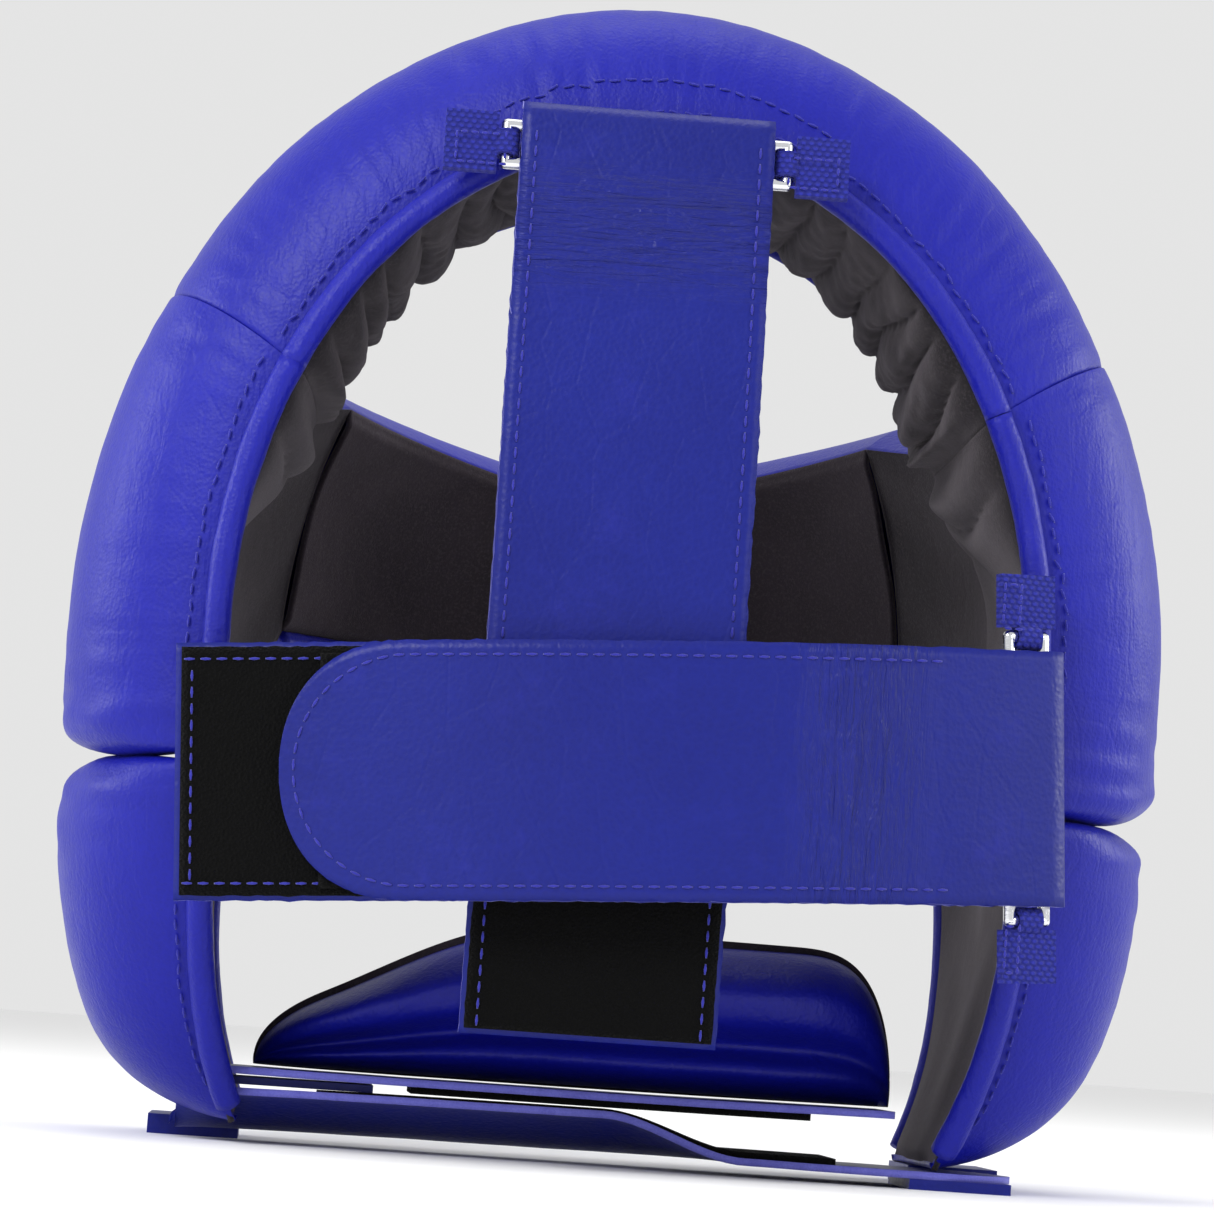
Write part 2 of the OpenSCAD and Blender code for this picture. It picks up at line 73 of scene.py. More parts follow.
class Sock:
    """A shader output on which Python arithmetic adds Math nodes."""

    def __init__(self, net: "Net", out: bpy.types.NodeSocket) -> None:
        """Keeps the net that the output belongs to.

        Args:
            net: the material being built.
            out: the output socket.
        """
        self.net = net
        self.out = out

    def _math(self, operation: str, first: "Sock | float", second: "Sock | float") -> "Sock":
        """Adds one Math node.

        Args:
            operation: the Math node's operation.
            first: its first value.
            second: its second value.

        Returns:
            The node's output.
        """
        return self.net.add("ShaderNodeMath", {"operation": operation}, {0: first, 1: second})

    def __add__(self, other: "Sock | float") -> "Sock":
        """self + other."""
        return self._math("ADD", self, other)

    def __radd__(self, other: float) -> "Sock":
        """other + self."""
        return self._math("ADD", other, self)

    def __sub__(self, other: "Sock | float") -> "Sock":
        """self - other."""
        return self._math("SUBTRACT", self, other)

    def __rsub__(self, other: float) -> "Sock":
        """other - self."""
        return self._math("SUBTRACT", other, self)

    def __mul__(self, other: "Sock | float") -> "Sock":
        """self * other."""
        return self._math("MULTIPLY", self, other)

    def __rmul__(self, other: float) -> "Sock":
        """other * self."""
        return self._math("MULTIPLY", other, self)

    def clamp(self) -> "Sock":
        """The value held between 0 and 1."""
        node = self._math("ADD", self, 0.0)
        node.out.node.use_clamp = True
        return node


class Net:
    """Builds one procedural material."""

    def __init__(self, name: str) -> None:
        """Starts an empty node tree with a Principled shader.

        Args:
            name: the material's name.
        """
        self.material = bpy.data.materials.new(name)
        self.material.use_nodes = True
        self.tree = self.material.node_tree
        self.tree.nodes.clear()
        self.shader = self.tree.nodes.new("ShaderNodeBsdfPrincipled")
        output = self.tree.nodes.new("ShaderNodeOutputMaterial")
        self.tree.links.new(self.shader.outputs[0], output.inputs[0])
        coords = self.tree.nodes.new("ShaderNodeTexCoord")
        self.place = Sock(self, coords.outputs["Object"])

    def link(self, value: "Sock | float | tuple", socket: bpy.types.NodeSocket) -> None:
        """Sets a socket from a link or a constant.

        Args:
            value: an output, a number or a colour.
            socket: the input to set.
        """
        if isinstance(value, Sock):
            self.tree.links.new(value.out, socket)
        else:
            socket.default_value = value

    def add(self, kind: str, settings: dict, inputs: dict, out: int | str = 0) -> Sock:
        """Adds any node.

        Args:
            kind: the node's type.
            settings: its own properties; "stops" fills a colour ramp.
            inputs: values or links by socket name or number.
            out: which output to return.

        Returns:
            That output.
        """
        node = self.tree.nodes.new(kind)
        for key, value in settings.items():
            if key == "stops":
                ramp = node.color_ramp
                while len(ramp.elements) < len(value):
                    ramp.elements.new(0.5)
                for element, (at, colour) in zip(ramp.elements, value):
                    element.position = at
                    element.color = colour
            else:
                setattr(node, key, value)
        for key, value in inputs.items():
            self.link(value, node.inputs[key])
        return Sock(self, node.outputs[out])

    def noise(self, scale: float, detail: float = 3.0, rough: float = 0.55, where: Sock | None = None,
              warp: float = 0.0) -> Sock:
        """Smooth noise from 0 to 1.

        Args:
            scale: repeats per metre.
            detail: octaves.
            rough: strength of the finer octaves.
            where: coordinates, the object's own if left out.
            warp: distortion.

        Returns:
            The noise value.
        """
        inputs = {"Vector": where or self.place, "Scale": scale, "Detail": detail, "Roughness": rough,
                  "Distortion": warp}
        return self.add("ShaderNodeTexNoise", {}, inputs, "Fac")

    def cells(self, scale: float, feature: str = "F1", where: Sock | None = None) -> Sock:
        """Cell pattern.

        Args:
            scale: cells per metre.
            feature: the Voronoi feature.
            where: coordinates, the object's own if left out.

        Returns:
            The distance value.
        """
        return self.add("ShaderNodeTexVoronoi", {"feature": feature}, {"Vector": where or self.place,
                        "Scale": scale}, "Distance")

    def stretch(self, scale: tuple[float, float, float], turn: tuple[float, float, float] = (0, 0, 0),
                where: Sock | None = None) -> Sock:
        """Coordinates stretched and turned.

        Args:
            scale: factor along each axis.
            turn: rotation in degrees.
            where: coordinates, the object's own if left out.

        Returns:
            The new coordinates.
        """
        return self.add("ShaderNodeMapping", {}, {"Vector": where or self.place, "Scale": scale,
                        "Rotation": tuple(math.radians(t) for t in turn)})

    def steps(self, value: Sock, low: float, high: float) -> Sock:
        """Smooth step of a value from low to high."""
        return self.add("ShaderNodeMapRange", {"interpolation_type": "SMOOTHSTEP"},
                        {"Value": value, "From Min": low, "From Max": high})

    def blend(self, share: "Sock | float", first: tuple | Sock, second: tuple | Sock) -> Sock:
        """Mix of two colours.

        Args:
            share: how much of the second.
            first: a colour.
            second: a colour.

        Returns:
            The mixed colour.
        """
        return self.add("ShaderNodeMix", {"data_type": "RGBA"}, {0: share, 6: first, 7: second}, 2)

    def bump(self, height: Sock, depth: float, under: Sock | None = None) -> Sock:
        """Relief from a height value.

        Args:
            height: the height, about 0 to 1.
            depth: real depth in metres.
            under: a coarser relief that it adds to.

        Returns:
            The new normal.
        """
        inputs = {"Height": height, "Distance": depth, "Strength": 1.0}
        if under:
            inputs["Normal"] = under
        return self.add("ShaderNodeBump", {}, inputs, "Normal")

    def finish(self, **sockets: "Sock | float | tuple") -> bpy.types.Material:
        """Sets the shader's sockets, an underscore standing for a space.

        Args:
            **sockets: values or links by socket name.

        Returns:
            The finished material.
        """
        for name, value in sockets.items():
            self.link(value, self.shader.inputs[name.replace("_", " ")])
        return self.material


def rgb(red: float, green: float, blue: float) -> tuple[float, float, float, float]:
    """Scene-linear colour from display values 0 to 255."""
    def linear(value: float) -> float:
        """Scene-linear value of one channel."""
        return (value / 255 / 12.92) if value <= 10 else ((value / 255 + 0.055) / 1.055) ** 2.4

    return linear(red), linear(green), linear(blue), 1.0


@dataclass(frozen=True)
class Leather:
    """Smooth full-grain leather with a fine pebble, pull lines and rubbed patches."""

    name: str
    deep: tuple
    light: tuple
    grain: float = 1150.0
    gloss: float = 0.36
    crease: float = 0.00022
    crease_turn: tuple = (0, 0, 0)
    crease_scale: tuple = (40, 40, 9)
    band_axis: int = -1
    band_at: float = 0.0
    band_half: float = 0.010

    def creased_band(self, net: Net, under: Sock) -> Sock:
        """Adds close creases across a strap where it is bent again and again.

        Args:
            net: the material.
            under: the relief so far.

        Returns:
            The relief with the creases.
        """
        if self.band_axis < 0:
            return under
        parts = net.add("ShaderNodeSeparateXYZ", {}, {0: net.place}, self.band_axis)
        away = net.add("ShaderNodeMath", {"operation": "ABSOLUTE"}, {0: parts - self.band_at})
        near = 1.0 - net.steps(away, self.band_half * 0.4, self.band_half * 1.8)
        close = tuple(620.0 if axis == self.band_axis else 70.0 for axis in range(3))
        wide = tuple(260.0 if axis == self.band_axis else 22.0 for axis in range(3))
        fine = net.noise(1.0, 3.0, 0.6, net.stretch(close), 1.4)
        broad = net.noise(1.0, 3.0, 0.6, net.stretch(wide), 1.0)
        return net.bump((fine * 0.55 + broad * 0.45) * near, 0.0026, under)

    def make(self) -> bpy.types.Material:
        """Builds the leather."""
        net = Net(self.name)
        pebble = net.cells(self.grain)
        pores = net.noise(self.grain * 1.7, 2.0)
        cloud = net.noise(24.0, 4.0, 0.6)
        pull = net.noise(9.0, 5.0, 0.62, net.stretch(self.crease_scale, self.crease_turn), 1.2)
        worn = net.steps(net.noise(60.0, 6.0, 0.7), 0.52, 0.75)
        lines = net.steps(net.cells(95.0, "DISTANCE_TO_EDGE", net.stretch((1, 1, 0.6))), 0.0, 0.05)
        tone = net.blend(cloud * 0.7 + pebble * 0.25, self.deep, self.light)
        tone = net.blend(worn * 0.10, tone, rgb(46, 48, 196))
        broad = self.creased_band(net, net.bump(pull, self.crease))
        veins = net.bump(lines * net.noise(30.0, 2.0), 0.00006, broad)
        fine = net.bump(pebble * 0.7 + pores * 0.3, 0.00009, veins)
        rough = self.gloss + cloud * 0.10 + pebble * 0.08 + worn * 0.06
        return net.finish(Base_Color=tone, Roughness=rough.clamp(), Normal=fine, Specular_IOR_Level=0.3,
                          Sheen_Weight=0.03, Sheen_Roughness=0.45, Sheen_Tint=rgb(150, 150, 255))


@dataclass(frozen=True)
class Suede:
    """Napped suede with fine speckle and brushed patches."""

    name: str
    dark: tuple
    pale: tuple

    def make(self) -> bpy.types.Material:
        """Builds the suede."""
        net = Net(self.name)
        nap = net.noise(2600.0, 3.0, 0.7)
        speck = net.steps(net.noise(1500.0, 2.0, 0.6), 0.45, 0.75)
        brushed = net.noise(32.0, 4.0, 0.6, None, 0.8)
        fibre = net.noise(420.0, 4.0, 0.7, net.stretch((1, 1, 0.35), (20, 0, 0)))
        tone = net.blend(brushed * 0.75 + fibre * 0.2, self.dark, self.pale)
        tone = net.blend(speck * 0.30, tone, rgb(78, 73, 76))
        soft = net.bump(brushed, 0.0004)
        fuzz = net.bump(nap * 0.6 + fibre * 0.4, 0.00022, soft)
        return net.finish(Base_Color=tone, Roughness=(0.86 + nap * 0.12).clamp(), Normal=fuzz,
                          Specular_IOR_Level=0.18, Sheen_Weight=0.35, Sheen_Roughness=0.5,
                          Sheen_Tint=rgb(190, 180, 188))


@dataclass(frozen=True)
class PileTape:
    """Black loop or hook tape with a fuzzy pile."""

    name: str
    pile: float

    def make(self) -> bpy.types.Material:
        """Builds the tape."""
        net = Net(self.name)
        loops = net.cells(self.pile)
        tangle = net.noise(self.pile * 0.8, 4.0, 0.75, None, 2.0)
        patch = net.noise(70.0, 3.0)
        tone = net.blend(tangle * 0.7 + patch * 0.3, rgb(1, 1, 1), rgb(9, 9, 10))
        tone = net.blend(net.steps(tangle, 0.6, 0.8) * 0.25, tone, rgb(20, 20, 23))
        relief = net.bump(loops * 0.5 + tangle * 0.5, 0.0007)
        return net.finish(Base_Color=tone, Roughness=0.95, Normal=relief, Specular_IOR_Level=0.06,
                          Sheen_Weight=0.03, Sheen_Roughness=0.6)


@dataclass(frozen=True)
class Weave:
    """Coarse woven webbing, its threads running along the object's own X and Z axes."""

    name: str
    dark: tuple
    pale: tuple
    pitch: float = 900.0

    def make(self) -> bpy.types.Material:
        """Builds the webbing."""
        net = Net(self.name)
        split = net.add("ShaderNodeSeparateXYZ", {}, {0: net.place}, 0)
        across = Sock(net, split.out.node.outputs[2])
        warp = net.add("ShaderNodeMath", {"operation": "SINE"}, {0: across * (self.pitch * math.pi)})
        weft = net.add("ShaderNodeMath", {"operation": "SINE"}, {0: split * (self.pitch * 1.3 * math.pi)})
        cross = warp * weft
        height = (warp * warp * 0.5 + cross * 0.5 + 0.5).clamp()
        fuzz = net.noise(2400.0, 3.0, 0.7)
        tone = net.blend((height * 0.8 + fuzz * 0.2).clamp(), self.dark, self.pale)
        relief = net.bump(height + fuzz * 0.25, 0.0006)
        return net.finish(Base_Color=tone, Roughness=0.82, Normal=relief, Specular_IOR_Level=0.25,
                          Sheen_Weight=0.2, Sheen_Tint=rgb(150, 150, 240))


@dataclass(frozen=True)
class Thread:
    """Twisted sewing thread, or the frayed pale flesh side of a cut leather edge."""

    name: str
    dark: tuple
    pale: tuple
    scale: float = 1800.0

    def make(self) -> bpy.types.Material:
        """Builds the thread."""
        net = Net(self.name)
        twist = net.noise(self.scale, 3.0, 0.7, net.stretch((1, 1, 1), (0, 40, 30)))
        patch = net.noise(self.scale * 0.12, 3.0, 0.6)
        tone = net.blend(twist * 0.6 + patch * 0.4, self.dark, self.pale)
        return net.finish(Base_Color=tone, Roughness=0.8, Normal=net.bump(twist, 0.00015),
                          Specular_IOR_Level=0.25, Sheen_Weight=0.2)


@dataclass(frozen=True)
class Chrome:
    """Polished ring wire with hair scratches and a few dull spots."""

    name: str

    def make(self) -> bpy.types.Material:
        """Builds the chrome."""
        net = Net(self.name)
        hair = net.noise(900.0, 3.0, 0.7, net.stretch((0.06, 1, 1), (0, 0, 15)))
        dull = net.steps(net.noise(160.0, 4.0), 0.5, 0.8)
        tone = net.blend(dull * 0.5, rgb(225, 226, 230), rgb(150, 150, 156))
        return net.finish(Base_Color=tone, Metallic=1.0, Roughness=(0.10 + hair * 0.12 + dull * 0.2).clamp(),
                          Normal=net.bump(hair, 0.00003))


@dataclass(frozen=True)
class PlainStage:
    """Plain floor."""

    name: str

    def make(self) -> bpy.types.Material:
        """Builds the floor's finish."""
        net = Net(self.name)
        tone = net.blend(net.noise(3.0) * 0.1, (0.93, 0.93, 0.93, 1), (0.9, 0.9, 0.9, 1))
        return net.finish(Base_Color=tone, Roughness=0.9)


@dataclass
class Finishes:
    """Every material of the headgear."""

    pad: bpy.types.Material = field(init=False)
    roll: bpy.types.Material = field(init=False)
    strap: bpy.types.Material = field(init=False)
    rear_strap: bpy.types.Material = field(init=False)
    crown_strap: bpy.types.Material = field(init=False)
    edge: bpy.types.Material = field(init=False)
    suede: bpy.types.Material = field(init=False)
    lit_suede: bpy.types.Material = field(init=False)
    loop: bpy.types.Material = field(init=False)
    hook: bpy.types.Material = field(init=False)
    webbing: bpy.types.Material = field(init=False)
    thread: bpy.types.Material = field(init=False)
    chrome: bpy.types.Material = field(init=False)
    stage: bpy.types.Material = field(init=False)

    def __post_init__(self) -> None:
        """Makes each material once."""
        # The pad and roll leathers are a paler, lit copy of the straps' blue leather, and the straps get a
        # darker, shaded copy: the difference between them is painted light and shade.
        self.pad = Leather("pad_leather", rgb(4, 9, 122), rgb(15, 22, 162), 1150.0, 0.37).make()
        self.roll = Leather("roll_leather", rgb(4, 8, 120), rgb(14, 21, 160), 1300.0, 0.35, 0.0003).make()
        # Darker, shaded copy of the blue leather for every strap: painted shade.
        shaded_strap_copy = dict(deep=rgb(0, 9, 96), light=rgb(0, 22, 130), grain=900.0, gloss=0.34, crease=0.00014,
                     crease_scale=(9, 9, 9))
        self.strap = Leather("strap_leather", **shaded_strap_copy).make()
        self.rear_strap = Leather("rear_strap_leather", **shaded_strap_copy, band_axis=0, band_at=0.047).make()
        self.crown_strap = Leather("crown_strap_leather", **shaded_strap_copy, band_axis=2, band_at=0.195).make()
        self.edge = Thread("cut_edge", rgb(58, 60, 158), rgb(126, 126, 214), 2200.0).make()
        self.suede = Suede("lining_suede", rgb(14, 13, 15), rgb(44, 41, 44)).make()
        # Paler copy of the lining suede for the forehead and chin-cup linings: its extra brightness is
        # painted light, taken from the forehead lining lit from the rear.
        self.lit_suede = Suede("lit_suede", rgb(24, 20, 24), rgb(58, 50, 57)).make()
        self.loop = PileTape("loop_pile", 1500.0).make()
        self.hook = PileTape("hook_pile", 1100.0).make()
        self.webbing = Weave("blue_webbing", rgb(4, 8, 70), rgb(38, 44, 150)).make()
        self.thread = Thread("sewing_thread", rgb(20, 22, 116), rgb(54, 56, 176)).make()
        self.chrome = Chrome("ring_chrome").make()
        self.stage = PlainStage("pale_floor").make()


# ---- Mesh helpers ------------------------------------------------------------------


@functools.cache
def node_box(name: str) -> tuple[tuple[float, float, float], tuple[float, float, float]]:
    """Corners of a CAD node's box, measured once.

    Args:
        name: the node.

    Returns:
        Its low and high corners.
    """
    low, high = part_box(name)
    return tuple(map(float, low)), tuple(map(float, high))


def smoothstep(value: float, low: float = 0.0, high: float = 1.0) -> float:
    """Smooth step of value from low to high."""
    t = max(0.0, min(1.0, (value - low) / (high - low)))
    return t * t * (3.0 - 2.0 * t)


def lerp(first: float, second: float, share: float) -> float:
    """Value between first and second."""
    return first + (second - first) * share


def ripple(x: float, y: float, z: float = 0.0) -> float:
    """Steady noise, about -1 to 1."""
    return noise.noise(Vector((x, y, z)))


def new_piece(name: str, bm: bmesh.types.BMesh, material: bpy.types.Material) -> bpy.types.Object:
    """Turns a bmesh into a smooth-shaded object.

    Args:
        name: the piece's name.
        bm: its mesh, which is freed.
        material: its finish.

    Returns:
        The new object.
    """
    mesh = bpy.data.meshes.new(name)
    for face in bm.faces:
        face.smooth = True
    bm.to_mesh(mesh)
    bm.free()
    mesh.materials.append(material)
    piece = bpy.data.objects.new(name, mesh)
    bpy.context.scene.collection.objects.link(piece)
    return piece


def draped_grid(surface: Surface, columns: int, rows: int, length: float, width: float) -> bmesh.types.BMesh:
    """Lays a grid over a surface.

    Args:
        surface: point for s and q, each from 0 to 1.
        columns: faces along s.
        rows: faces along q.
        length: real size along s, for the layout.
        width: real size along q, for the layout.

    Returns:
        The mesh, with the layout as its UV map.
    """
    bm = bmesh.new()
    bmesh.ops.create_grid(bm, x_segments=columns, y_segments=rows, size=0.5)
    layout = bm.loops.layers.uv.new("layout")
    for face in bm.faces:
        for loop in face.loops:
            loop[layout].uv = ((loop.vert.co.x + 0.5) * length, (loop.vert.co.y + 0.5) * width)
    for vert in bm.verts:
        vert.co = surface(vert.co.x + 0.5, vert.co.y + 0.5)
    return bm


def thicken(piece: bpy.types.Object, depth: float, rim: bpy.types.Material | None = None,
            offset: float = -1.0, even: bool = True) -> None:
    """Gives a skin its thickness.

    Args:
        piece: the skin.
        depth: thickness in metres.
        rim: finish of the cut edge.
        offset: -1 grows inwards, 1 outwards.
        even: whether sharp corners are drawn out to keep the thickness.
    """
    solid = piece.modifiers.new("thickness", "SOLIDIFY")
    solid.thickness = depth
    solid.offset = offset
    solid.use_even_offset = even
    if rim:
        piece.data.materials.append(rim)
        solid.material_offset_rim = 1


def tube(path: Sequence[Vector], radius: Callable[[float], float], sides: int = 14) -> bmesh.types.BMesh:
    """Sweeps a round section along a path.

    Args:
        path: centre points.
        radius: radius for the share of the length run.
        sides: faces round it.

    Returns:
        The closed tube.
    """
    bm = bmesh.new()
    rings = []
    count = len(path)
    for i, point in enumerate(path):
        along = (path[min(i + 1, count - 1)] - path[max(i - 1, 0)]).normalized()
        side = along.cross(Vector((0, 1, 0)))
        side = side.normalized() if side.length > 1e-4 else Vector((1, 0, 0))
        up = side.cross(along)
        spin = Matrix((side, up, along)).transposed().to_4x4()
        made = bmesh.ops.create_circle(bm, segments=sides, radius=radius(i / (count - 1)),
                                       matrix=Matrix.Translation(point) @ spin)
        rings.append(made["verts"])
    for first, second in zip(rings, rings[1:]):
        edges = [e for ring in (first, second) for e in {e for v in ring for e in v.link_edges}
                 if e.verts[0] in ring and e.verts[1] in ring]
        bmesh.ops.bridge_loops(bm, edges=edges)
    for ring in (rings[0], rings[-1]):
        bmesh.ops.contextual_create(bm, geom=ring)
    bmesh.ops.recalc_face_normals(bm, faces=bm.faces)
    return bm


@dataclass
class Seam:
    """A row of stitches along a path that lies on a surface."""

    name: str
    path: list[Vector]
    lift: list[Vector]
    pitch: float = 0.0034
    length: float = 0.0026
    radius: float = 0.00032

    def build(self, material: bpy.types.Material) -> bpy.types.Object:
        """Sews the row.

        Args:
            material: the thread.

        Returns:
            All its stitches as one piece.
        """
        bm = bmesh.new()
        run = 0.0
        due = self.pitch * 0.5
        for i in range(len(self.path) - 1):
            start, end = self.path[i], self.path[i + 1]
            span = (end - start).length
            while span > 1e-9 and run + span > due:
                at = start.lerp(end, (due - run) / span)
                along = (end - start).normalized()
                up = self.lift[i].normalized()
                side = along.cross(up).normalized()
                up = side.cross(along)
                turn = Matrix((along, side, up)).transposed().to_4x4()
                size = Matrix.Diagonal((self.length / 2, self.radius, self.radius, 1.0))
                bmesh.ops.create_uvsphere(bm, u_segments=6, v_segments=4, radius=1.0,
                                          matrix=Matrix.Translation(at) @ turn @ size)
                due += self.pitch
            run += span
        return new_piece(self.name, bm, material)


def sew(name: str, surface: Surface, points: Sequence[tuple[float, float]], material: bpy.types.Material,
        body: str, lift: float = 0.0002, facing: Vector | None = None, **sizes: float) -> bpy.types.Object:
    """Sews a row of stitches over a surface.

    Args:
        name: the row's name.
        surface: the surface it lies on.
        points: its s and q places.
        material: the thread.
        body: the CAD body that it rides on.
        lift: how far the thread stands off the surface.
        facing: a direction that the stitched side faces, if it isn't the surface's own.
        **sizes: other sizes of the stitches.

    Returns:
        The row.
    """
    step = 0.002
    path, lifts = [], []
    for s, q in points:
        here = surface(s, q)
        normal = (surface(min(s + step, 1), q) - surface(max(s - step, 0), q)).cross(
            surface(s, min(q + step, 1)) - surface(s, max(q - step, 0)))
        normal = normal.normalized() if normal.length > 1e-12 else Vector((0, -1, 0))
        if facing is not None and normal.dot(facing) < 0:
            normal = -normal
        path.append(here + normal * lift)
        lifts.append(normal)
    piece = Seam(name, path, lifts, **sizes).build(material)
    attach(piece, body)
    return piece


# ---- The shell's shape -------------------------------------------------------------


@dataclass
class HeadForm:
    """The pads' common surface, with its driving sizes taken from the frame."""

    half_w: float = 0.091
    depth: float = 0.097
    rise: float = 0.108
    equator: float = 0.110
    side_pad: float = 0.028
    brow_pad: float = 0.030
    back_step: float = 0.0015
    rear_edge: float = 0.0755
    crown_front: float = 0.012
    jaw_turn_in: float = 0.2
    tuck_share: float = 0.06
    crown_pad: float = field(init=False)
    shift: float = field(init=False)

    def __post_init__(self) -> None:
        """Reads the crown's height and the shell's place along Y from the frame."""
        low, high = node_box("crown_cover")
        self.crown_pad = high[2] - self.equator - self.rise
        self.shift = low[1] + self.rear_edge

    def tuck(self, y: float) -> float:
        """Narrowing towards the rear opening."""
        back = max(0.0, min(1.0, (-y - 0.030) / 0.048))
        return 1.0 - self.tuck_share * back * back

    def side(self, a: float, v: float, t: float) -> Vector:
        """Point of a side, jaw or brow pad.

        Args:
            a: plan angle forward of the ear in degrees, or back_step metres each behind it.
            v: degrees above the widest line, or millimetres below it.
            t: 0 at the inner face to 1 at the outer face.

        Returns:
            The point.
        """
        turn = math.radians(v)
        scale = math.cos(turn) if v > 0 else 1 - self.jaw_turn_in * (-v * MM / self.equator) ** 3.5
        plan = math.radians(max(a, 0.0))
        x = (self.half_w + self.side_pad * t) * scale * math.cos(plan)
        y = (self.depth + self.brow_pad * t) * scale * math.sin(plan)
        if a <= 0:
            y = a * self.back_step
            x *= self.tuck(y)
        up = (self.rise + self.crown_pad * t) * math.sin(turn) if v > 0 else v * MM
        return Vector((x, y + self.shift, self.equator + up))

    def crown(self, y: float, v: float, t: float) -> Vector:
        """Point of the crown pad at depth y, v degrees round from the right side."""
        turn = math.radians(v)
        return Vector(((self.half_w + self.side_pad * t) * math.cos(turn) * self.tuck(y), y + self.shift,
                       self.equator + (self.rise + self.crown_pad * t) * math.sin(turn)))


def swell(s: float, first: float, last: float, power: float = 3.6, late: float = 0.0) -> float:
    """Share of the full thickness at s across a pad.

    Args:
        s: place across it, 0 to 1.
        first: share kept at 0.
        last: share kept at 1.
        power: how square its shoulders are.
        late: power of the last half, if it differs.

    Returns:
        The share.
    """
    kept = first if s < 0.5 else last
    square = late if late and s > 0.5 else power
    return kept + (1 - kept) * math.sqrt(max(0.0, 1 - abs(2 * s - 1) ** square))


def eased(s: float) -> float:
    """Crowds a grid's lines towards both edges."""
    return 0.5 - 0.5 * math.cos(math.pi * s)


class Zone(Enum):
    """The four shapes of pad."""

    CROWN = "crown"
    BROW = "forehead"
    TEMPLE = "temple"
    JAW = "jaw"


